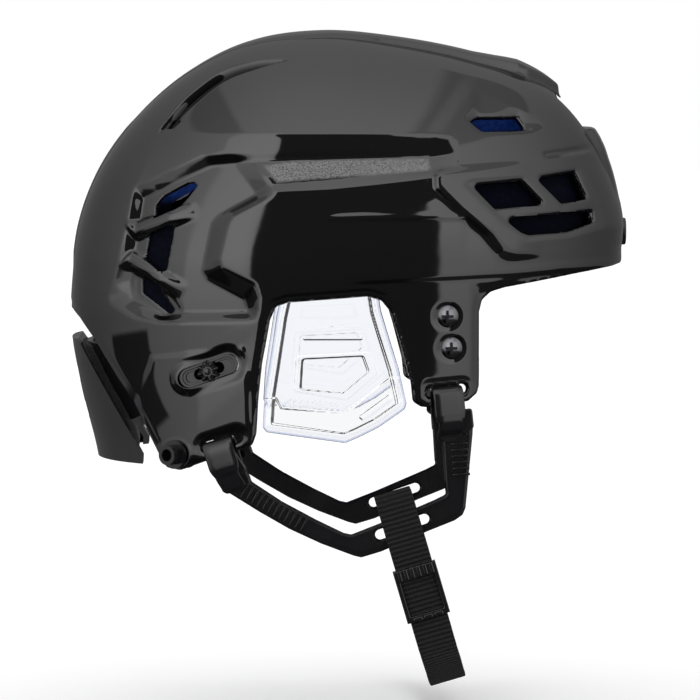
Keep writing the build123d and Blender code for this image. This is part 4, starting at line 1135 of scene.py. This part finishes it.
class HELMET_OT_liners(bpy.types.Operator):
    """Makes the two halves of the foam liner"""

    bl_idname = "helmet.liners"
    bl_label = "Foam liner"

    def execute(self, context):
        for name, outline in (("front_liner", LINER_FRONT), ("rear_liner", LINER_REAR)):
            keep = liner_keep(outline)
            liner = shell_piece(name + "_foam", keep, *liner_faces(keep), finish_of("liner"), lift_range=(-20, 90),
                                step=SOFT_STEP)
            place(liner, "shell", "liner", name)
        return {"FINISHED"}


class HELMET_OT_pads(bpy.types.Operator):
    """Makes the comfort pads inside the liner and the front tabs"""

    bl_idname = "helmet.pads"
    bl_label = "Comfort pads"

    def execute(self, context):
        for name, box, corner, view, level, thickness, turns, lifts in PADS:
            shape = rounded(box_outline(*box), corner)

            def keep(x, y, z, shape=shape, view=view):
                u, v, limit = VIEWS[view](x, y, z)
                return np.minimum(depth_in(u, v, shape), limit)

            faces = pillow(keep, level, thickness or sizes().pad_thickness / MM)
            stem = name + "_right" if view == "side" else name
            pad = shell_piece(stem + "_cover", keep, *faces, finish_of("comfort_pad"), turns, lifts, SOFT_STEP)
            if view == "side":
                pads = place_pair(pad, "cover", "shell", "comfort_pad", name)
            else:
                pads = [place(pad, "shell", "comfort_pad", name)]
        return {"FINISHED"}


GUARD_OUTLINE = (
    (-31, 6), (14, 6), (17, -13), (20, -23), (26, -42), (30, -60), (29, -63), (16, -72), (6, -77), (-1, -80),
    (-19, -77.5), (-41, -74.5), (-43, -72), (-42, -55), (-39, -36), (-36, -16),
)
GUARD_FACE = -3.6
GUARD_BACK = -5.9
GUARD_ROUGH = ((-32, -57), (-4, -58.5), (-4, -63.5), (-31, -61.5))
# Areas that stand out of the guard or sink into it: outline, corner radius, height and width of the slope
GUARD_RELIEF = (
    (((-23, -37), (8, -35.5), (11, -44), (-2, -55), (-24, -53)), 2.0, -1.0, 0.7),
    (((-26, -35.5), (11, -33.5), (15.5, -45), (0, -58.5), (-27.5, -54)), 2.0, 0.7, 0.8),
    (((-22, -21.5), (6, -20), (8.5, -28), (-23, -28)), 1.5, 0.6, 0.7),
    (((5, -66.5), (21.5, -54.5), (23, -58), (8, -69)), 1.0, 0.6, 0.8),
    (((-36, -56.5), (-33, -62), (-2, -64.5), (21, -46.5), (30, -46), (34, -90), (-50, -90), (-46, -57)), 0, 0.6, 0.9),
)


class HELMET_OT_ear_guards(bpy.types.Operator):
    """Makes the clear moulded ear guards"""

    bl_idname = "helmet.ear_guards"
    bl_label = "Ear guards"

    def execute(self, context):
        shape = rounded(GUARD_OUTLINE, 2.5)

        def keep(x, y, z):
            return np.minimum(depth_in(x, z, shape), -y)

        def outer(x, y, z):
            edge = keep(x, y, z)
            height = np.full(len(x), GUARD_FACE)
            height += 0.7 * ease((5.4 - edge) / 1.0) * ease((edge - 2.2) / 1.0)
            for raised, corner, rise, slope in GUARD_RELIEF:
                height += rise * ease(depth_in(x, z, rounded(raised, corner)) / slope)
            rough = np.sin(x * 2.4 + 1.3 * np.sin(z * 1.7)) * np.sin(z * 2.9 + x * 0.4)
            height += 0.12 * rough * ease(depth_in(x, z, GUARD_ROUGH) / 1.5)
            lip = 0.9
            height -= lip - np.sqrt(np.maximum(lip**2 - np.clip(lip - edge, 0, lip) ** 2, 0))
            return height

        def inner(x, y, z):
            return np.full(len(x), GUARD_BACK)

        def edge_mask(x, y, z):
            return ramp(1.7 - keep(x, y, z), 0.8)

        right = shell_piece("ear_guard_right_clear", keep, outer, inner, finish_of("clear_guard"), (-125, -60),
                            (-42, 6), 0.19, values={"edge": edge_mask}, sharp=60)
        place_pair(right, "clear", "shell", "clear_guard", "ear_guard")
        return {"FINISHED"}


class HELMET_OT_slings(bpy.types.Operator):
    """Makes the chin slings with their tabs, latches and ladder ribs"""

    bl_idname = "helmet.slings"
    bl_label = "Chin slings"

    def execute(self, context):
        black = finish_of("moulded_black")
        y = -(SLING_Y - SLING_THICKNESS / 2)
        face = -SLING_Y
        holes = [slot_outline(*STRAP_SLOT), circle_outline(-54.3, -99.8, 1.2, 16)]
        parts = [side_plate("sling_plate", [rounded(SLING_OUTLINE, 2.0)] + holes, y, SLING_THICKNESS, 1.1, black, 0)]
        line = rounded(SLING_OUTLINE, 3.2)
        parts.append(side_plate("sling_rim", [inset(line, 1.0), inset(line, 1.9)], face - 0.05, 1.0, 0.3, black))
        for end, slot in (("front", FRONT_SLOT), ("rear", REAR_SLOT)):
            parts += sling_hook(f"sling_{end}_hook", slot[:2], slot[4], black)
        for end, tab in (("front", FRONT_TAB), ("rear", REAR_TAB)):
            parts.append(side_plate(f"sling_{end}_tab", [rounded(tab, 1.6)], face - 1.0, 3.4, 0.7, black))
        parts += rib_row("sling_front_rib", (56.2, -80.5), (57.4, -96), 6, 8.6, 4, face, black, 1.3, 1.2)
        parts += rib_row("sling_latch", (52.4, -74.8), (60.6, -74.2), 3, 4.6, 86, face - 0.8, black, 1.3, 1.9)
        parts += rib_row("sling_rear_rib", (-51.5, -103.8), (-21.5, -120.8), 12, 8.4, 62, face, black, 1.3, 1.2)
        place_pair(joined("sling_right_body", parts), "body", "sling_right", "moulded_black", "sling")
        return {"FINISHED"}


class HELMET_OT_strap(bpy.types.Operator):
    """Makes the chin strap, looped round both slings"""

    bl_idname = "helmet.strap"
    bl_label = "Chin strap"

    def execute(self, context):
        thickness = sizes().strap_thickness / MM
        outer = STRAP_FACE - thickness / 2
        ply = outer - thickness - 0.25
        behind = SLING_Y - 2.2 - 1.6 - thickness / 2

        # From each inner ply's end, up, through the slot, over the sling and down its outside
        right = (
            (ply, -50), (ply, -30), (ply, -10), (ply - 0.3, -4.2), (SLING_Y + 0.9, -0.75), (SLING_Y - 1.1, -0.05),
            (SLING_Y - 3.1, 0.6), (behind + 0.1, 4), (behind, 9), (behind + 0.8, 14.5), (SLING_Y - 0.4, 18.2),
            (outer - 1.4, 15.5), (outer + 0.1, 10), (outer, 0), (outer, -20),
        )
        left = [(ply, -28), (ply, -21), (ply - 0.4, -15.5), (SLING_Y - 0.8, -13), (behind + 0.5, -11.4), (behind, -8),
                (behind, -4.8), (behind + 0.9, -1.25), (SLING_Y - 1.1, 0.15), (outer - 1.2, -0.55), (outer, -4.8),
                (outer, -20)]
        sag = [(-outer * math.cos(math.pi * k / 16), -52 - 38.2 * math.sin(math.pi * k / 16) ** 0.92)
               for k in range(17)]
        route = [(-a, u) for a, u in right] + [(-outer, -40)] + sag + [(outer, -40)] + left[::-1]
        flat = smooth_path(route, 620)
        path = np.array([strap_point(a, u) for a, u in flat])
        run = np.linspace(0, 1, len(path))
        sway = 1 + 0.006 * np.sin(run * 61) + 0.004 * np.sin(run * 23 + 1)
        strap = band("chin_strap_webbing", path, strap_side(), sizes().strap_width / MM, thickness,
                     finish_of("webbing"), sway)
        place(strap, "strap", "webbing", "chin_strap")
        return {"FINISHED"}


class HELMET_OT_slider(bpy.types.Operator):
    """Makes the slider buckle on the strap"""

    bl_idname = "helmet.slider"
    bl_label = "Strap slider"

    def execute(self, context):
        black = finish_of("moulded_black")
        outer = STRAP_FACE + 0.3
        inner = outer - 4.0
        lean = math.radians(STRAP_LEAN)
        along = (-math.sin(lean), 0.0, math.cos(lean))
        parts = []

        def plate(name, outlines, across, thickness, bevel):
            origin = Vector(strap_point(across, 0.0))
            parts.append(flat_curve(name, outlines, thickness, bevel, origin, strap_side(), along, black))

        half, top, bottom = 11.1, -20.4, -47.3
        window = rounded(box_outline(-8.8, -26.4, 8.8, -44.4), 0.8)
        frame_line = rounded(box_outline(-half, top, half, bottom), 1.0)
        plate("slider_front", [frame_line, window], -outer - 0.7, 1.4, 0.4)
        plate("slider_back", [frame_line, window], -inner + 0.9, 1.6, 0.4)
        for stem, count, first, step, reach, ends, corner, rise in (
            ("rib", 6, -8.3, 3.32, 1.15, (-20.2, -26.0), 0.7, 1.1),
            ("wave", 3, -5.4, 5.4, 2.5, (-45.2, -47.5), 1.1, 1.0),
        ):
            for k in range(count):
                u = first + step * k
                bump = rounded(box_outline(u - reach, ends[0], u + reach, ends[1]), corner)
                plate(f"slider_{stem}_{k}", [bump], -outer - rise, 1.4, 0.6)
        for way in (-1, 1):
            u = way * (half - 0.55)
            rail = box_outline(u - 0.55, -20.2, u + 0.55, bottom)
            plate(f"slider_rail_{way + 1}", [rail], -(outer + inner) / 2, outer - inner + 1.8, 0.3)
        slider = joined("strap_slider_body", parts)
        place(slider, "slider", "moulded_black", "strap_slider")
        return {"FINISHED"}


NAPE_PAD = ((-172, -34), (-139, -34), (-127, -54), (-107, -87), (-172, -87))


class HELMET_OT_cradle(bpy.types.Operator):
    """Finishes the occipital cradle and makes its nape pad"""

    bl_idname = "helmet.cradle"
    bl_label = "Occipital cradle"

    def execute(self, context):
        finished_node("occipital_cradle", "moulded_black", 0.5)

        def keep(x, y, z):
            return np.minimum(depth_in(x, z, rounded(NAPE_PAD, 5.0)), 62 - np.abs(y))

        pad = shell_piece("nape_pad_cover", keep, *pillow(keep, -3.9, 12.0, 12.0), finish_of("comfort_pad"), (100, 260),
                          (-46, -5), SOFT_STEP)
        place(pad, "cradle", "comfort_pad", "nape_pad")
        return {"FINISHED"}


def adjuster_plane():
    """Middle, long way and short way of the right adjuster."""
    slope = math.radians(TRACK_SLOT[4])
    out = Vector((*TRACK_OUT, 0))
    along = Vector((math.cos(slope), 0, math.sin(slope)))
    along = (along - out * along.dot(out)).normalized()
    return Vector((*TRACK_ORIGIN, TRACK_SLOT[1])), out, along, out.cross(along)


def knob_head(name, material):
    """Eight-lobed finger knob: domed lobes round a sunk ring and a domed middle."""
    middle, out, along, up = adjuster_plane()
    turns = np.linspace(0, 2 * math.pi, 192, endpoint=False)
    lobes = 0.5 + 0.5 * np.cos(8 * turns)
    reach = 4.35 + 1.12 * lobes**0.6
    shares = np.concatenate([np.linspace(0.02, 0.97, 34), [0.995, 1.0, 1.0, 0.6]])
    radius = shares[:, None] * reach[None, :]
    button = 4.7 + 0.35 * np.sqrt(ramp(1 - (radius / 1.7) ** 2))
    valley = (1 - lobes[None, :]) * ease((radius - 2.2) / 1.2)
    lobe = 5.25 - 0.16 * (radius - 3.8) ** 2 - 1.5 * valley - 1.0 * ease((shares[:, None] - 0.8) / 0.2)
    height = np.where(radius < 1.7, button, np.where(radius < 2.5, 3.9, lobe))
    height[-2:] = 2.15
    points = [middle + along * float(r * math.cos(t)) + up * float(r * math.sin(t)) + out * float(h)
              for row, rise in zip(radius, height) for r, t, h in zip(row, turns, rise)]
    sides = [p[:, ::-1] for p in tube(len(shares), len(turns))]
    return new_piece(name, points, sides, material, 40)


class HELMET_OT_adjusters(bpy.types.Operator):
    """Makes the lobed knobs and the oval tracks of the fit adjusters"""

    bl_idname = "helmet.adjusters"
    bl_label = "Fit adjusters"

    def execute(self, context):
        black = finish_of("moulded_black")
        middle, out, along, up = adjuster_plane()

        def plate(name, outlines, low, high, bevel):
            return flat_curve(name, outlines, high - low, bevel, middle + out * (low + high) / 2, along, up, black)

        shaft = plate("knob_shaft", [circle_outline(0, 0, SHAFT_RADIUS)], -SHAFT_LENGTH, 2.4, 0.2)
        knob = joined("adjuster_knob_right_cap", [knob_head("knob_head", black), shaft])
        place_pair(knob, "cap", "knob_right", "moulded_black", "adjuster_knob")
        oval = slot_outline(0, 0, 31.0, 10.0, 0)
        well = slot_outline(0, 0, 27.4, 7.4, 0)
        step = slot_outline(0, 0, 24.6, 5.4, 0)
        slot = slot_outline(0, 0, *TRACK_OPENING, 0)
        track = joined("adjuster_track_right_ring", [
            plate("track_ring", [oval, well], -1.2, 0.8, 0.3),
            plate("track_step", [inset(oval, 0.4), step], -2.2, 0.1, 0.2),
            plate("track_base", [inset(oval, 0.2), slot], -5.2, -1.0, 0.2),
        ])
        place_pair(track, "ring", "shell", "moulded_black", "adjuster_track")
        return {"FINISHED"}


class HELMET_OT_fittings(bpy.types.Operator):
    """Finishes the screws, nuts, washers, studs and the brow button"""

    bl_idname = "helmet.fittings"
    bl_label = "Fittings"

    def execute(self, context):
        for name, slot, bevel in (
            ("temple_screws", "screw_steel", 0.15), ("temple_nuts", "dark_hardware", 0.3),
            ("guard_washers", "moulded_black", 0.3), ("stud_nuts", "dark_hardware", 0.3),
            ("front_bumper", "moulded_black", 0.2), ("bumper_nut", "dark_hardware", 0.2),
            ("adjuster_nut_right", "dark_hardware", 0.3), ("rear_stud_right", "moulded_black", 0.3),
            ("adjuster_nut_left", "dark_hardware", 0.3), ("rear_stud_left", "moulded_black", 0.3),
        ):
            finished_node(name, slot, bevel)
        return {"FINISHED"}


def studio_world():
    """Pale studio: bright all round, with the dark gap between the panels where a camera looks through."""
    world = bpy.data.worlds.new("studio")
    bpy.context.scene.world = world
    world.use_nodes = True
    world.node_tree.nodes.clear()
    graph = Graph(world.node_tree)
    calc = graph.calc
    x, y, z = graph.add("SeparateXYZ", Vector=graph.add("TexCoord").outputs["Generated"]).outputs
    turn = calc("ARCTAN2", x, calc("MULTIPLY", y, -1.0))

    def edge(value, low, high):
        return graph.spread(value, low, high, interpolation_type="SMOOTHSTEP")

    def times(first, second):
        return calc("MULTIPLY", first, second)

    def dimmed(level, mask, share):
        """Level less a share of it inside a mask."""
        return times(level, calc("MULTIPLY_ADD", mask, -share, 1.0))

    def patch(from_turn, to_turn, low, high, soft=2.0, across=turn):
        """1 inside a range of turns and heights, in degrees, and 0 outside it."""
        start = edge(across, math.radians(from_turn - soft / 2), math.radians(from_turn + soft / 2))
        end = edge(across, math.radians(to_turn + soft / 2), math.radians(to_turn - soft / 2))
        under = edge(z, math.sin(math.radians(high)), math.sin(math.radians(high - 3)))
        over = edge(z, math.sin(math.radians(low)), math.sin(math.radians(low + 3)))
        return times(times(start, end), times(under, over))

    facing = calc("MULTIPLY_ADD", y, -0.5, 0.5)
    wall = calc("MULTIPLY_ADD", calc("POWER", facing, 1.6), 1.85, 0.18)
    height = calc("MAXIMUM", z, 0.0)
    level = calc("MULTIPLY_ADD", times(height, height), 0.5, wall)
    level = calc("MULTIPLY_ADD", patch(-42, -14, -8, 46, 6.0), 0.55, level)
    level = times(level, calc("MULTIPLY_ADD", edge(z, -0.1, 0.1), 0.25, 0.75))
    level = times(level, calc("MULTIPLY_ADD", edge(z, -0.42, -0.3), 0.92, 0.08))
    for start, end, top in ((-94, -62, -8), (-46, -13, -12)):
        level = dimmed(level, patch(start, end, -60, top), 0.9)
    bent = calc("MULTIPLY_ADD", edge(calc("ABSOLUTE", z), 0.25, 0.5), 0.08, turn)
    level = dimmed(level, patch(-13.5, 18.5, -60, 41, 1.2, bent), 0.95)
    lean = calc("DIVIDE", x, calc("MAXIMUM", z, 0.05))
    panel = times(edge(lean, -0.62, -0.57), edge(lean, 0.30, 0.26))
    level = dimmed(level, times(edge(z, 0.73, 0.76), calc("SUBTRACT", 1.0, panel)), 0.35)
    path = graph.add("LightPath")
    reflected = times(path.outputs["Is Glossy Ray"], calc("SUBTRACT", 1.0, path.outputs["Is Transmission Ray"]))
    background = graph.add("Background", Color=(1.0, 1.0, 1.0, 1.0), Strength=graph.mix(reflected, 1.0, level, "FLOAT"))
    graph.add("OutputWorld", Surface=background.outputs[0])


FLOOR_REACH = 9000.0
CAMERA_LENS = 277.9
CAMERA_TURN = -0.8
CAMERA_RISE = 3.6
CAMERA_AWAY = 2.8
CAMERA_SHIFT = (0.00259, -0.03886)


class HELMET_OT_stage(bpy.types.Operator):
    """Sets the pale floor, the soft studio light and the camera"""

    bl_idname = "helmet.stage"
    bl_label = "Stage"

    def execute(self, context):
        scene = context.scene
        scene.view_settings.view_transform = "Standard"
        studio_world()
        drop = -sizes().floor_drop / MM
        spread = [(x, y, drop) for x, y in box_outline(-FLOOR_REACH, -FLOOR_REACH, FLOOR_REACH, FLOOR_REACH)]
        new_piece("studio_floor", spread, [np.array([[0, 1, 2, 3]])], finish_of("floor"))
        data = bpy.data.cameras.new("camera")
        data.sensor_width = 36.0
        data.lens = CAMERA_LENS
        camera = added("camera", data)
        turn, rise = math.radians(CAMERA_TURN), math.radians(CAMERA_RISE)
        back = Vector((math.sin(turn) * math.cos(rise), -math.cos(turn) * math.cos(rise), math.sin(rise)))
        right = Vector((math.cos(turn), math.sin(turn), 0))
        up = back.cross(right)
        target = right * CAMERA_SHIFT[0] + up * CAMERA_SHIFT[1]
        camera.rotation_mode = "QUATERNION"
        camera.rotation_quaternion = (-back).to_track_quat("-Z", "Y")
        camera.location = target + back * CAMERA_AWAY
        data.clip_start, data.clip_end = 0.05, 60.0
        scene.camera = camera
        return {"FINISHED"}


OPERATORS = (
    HELMET_OT_shell, HELMET_OT_spine, HELMET_OT_liners, HELMET_OT_pads, HELMET_OT_ear_guards, HELMET_OT_slings,
    HELMET_OT_strap, HELMET_OT_slider, HELMET_OT_cradle, HELMET_OT_adjusters, HELMET_OT_fittings, HELMET_OT_stage,
)


class HELMET_PT_panel(bpy.types.Panel):
    """Lists the helmet's pieces"""

    bl_idname = "HELMET_PT_panel"
    bl_label = "Ice hockey helmet"
    bl_space_type = "VIEW_3D"
    bl_region_type = "UI"
    bl_category = "Helmet"

    def draw(self, context):
        for operator in OPERATORS:
            self.layout.operator(operator.bl_idname)
        for group in (context.scene.helmet_sizes, context.scene.helmet_colours):
            for key in group.__annotations__:
                self.layout.prop(group, key)


def register():
    for kind in (HelmetSizes, HelmetColours) + OPERATORS + (HELMET_PT_panel,):
        bpy.utils.register_class(kind)
    bpy.types.Scene.helmet_sizes = PointerProperty(type=HelmetSizes)
    bpy.types.Scene.helmet_colours = PointerProperty(type=HelmetColours)


def unregister():
    del bpy.types.Scene.helmet_colours
    del bpy.types.Scene.helmet_sizes
    for kind in reversed((HelmetSizes, HelmetColours) + OPERATORS + (HELMET_PT_panel,)):
        bpy.utils.unregister_class(kind)


def main():
    register()
    for operator in OPERATORS:
        kind, name = operator.bl_idname.split(".")
        getattr(getattr(bpy.ops, kind), name)()


if __name__ == "__main__":
    main()
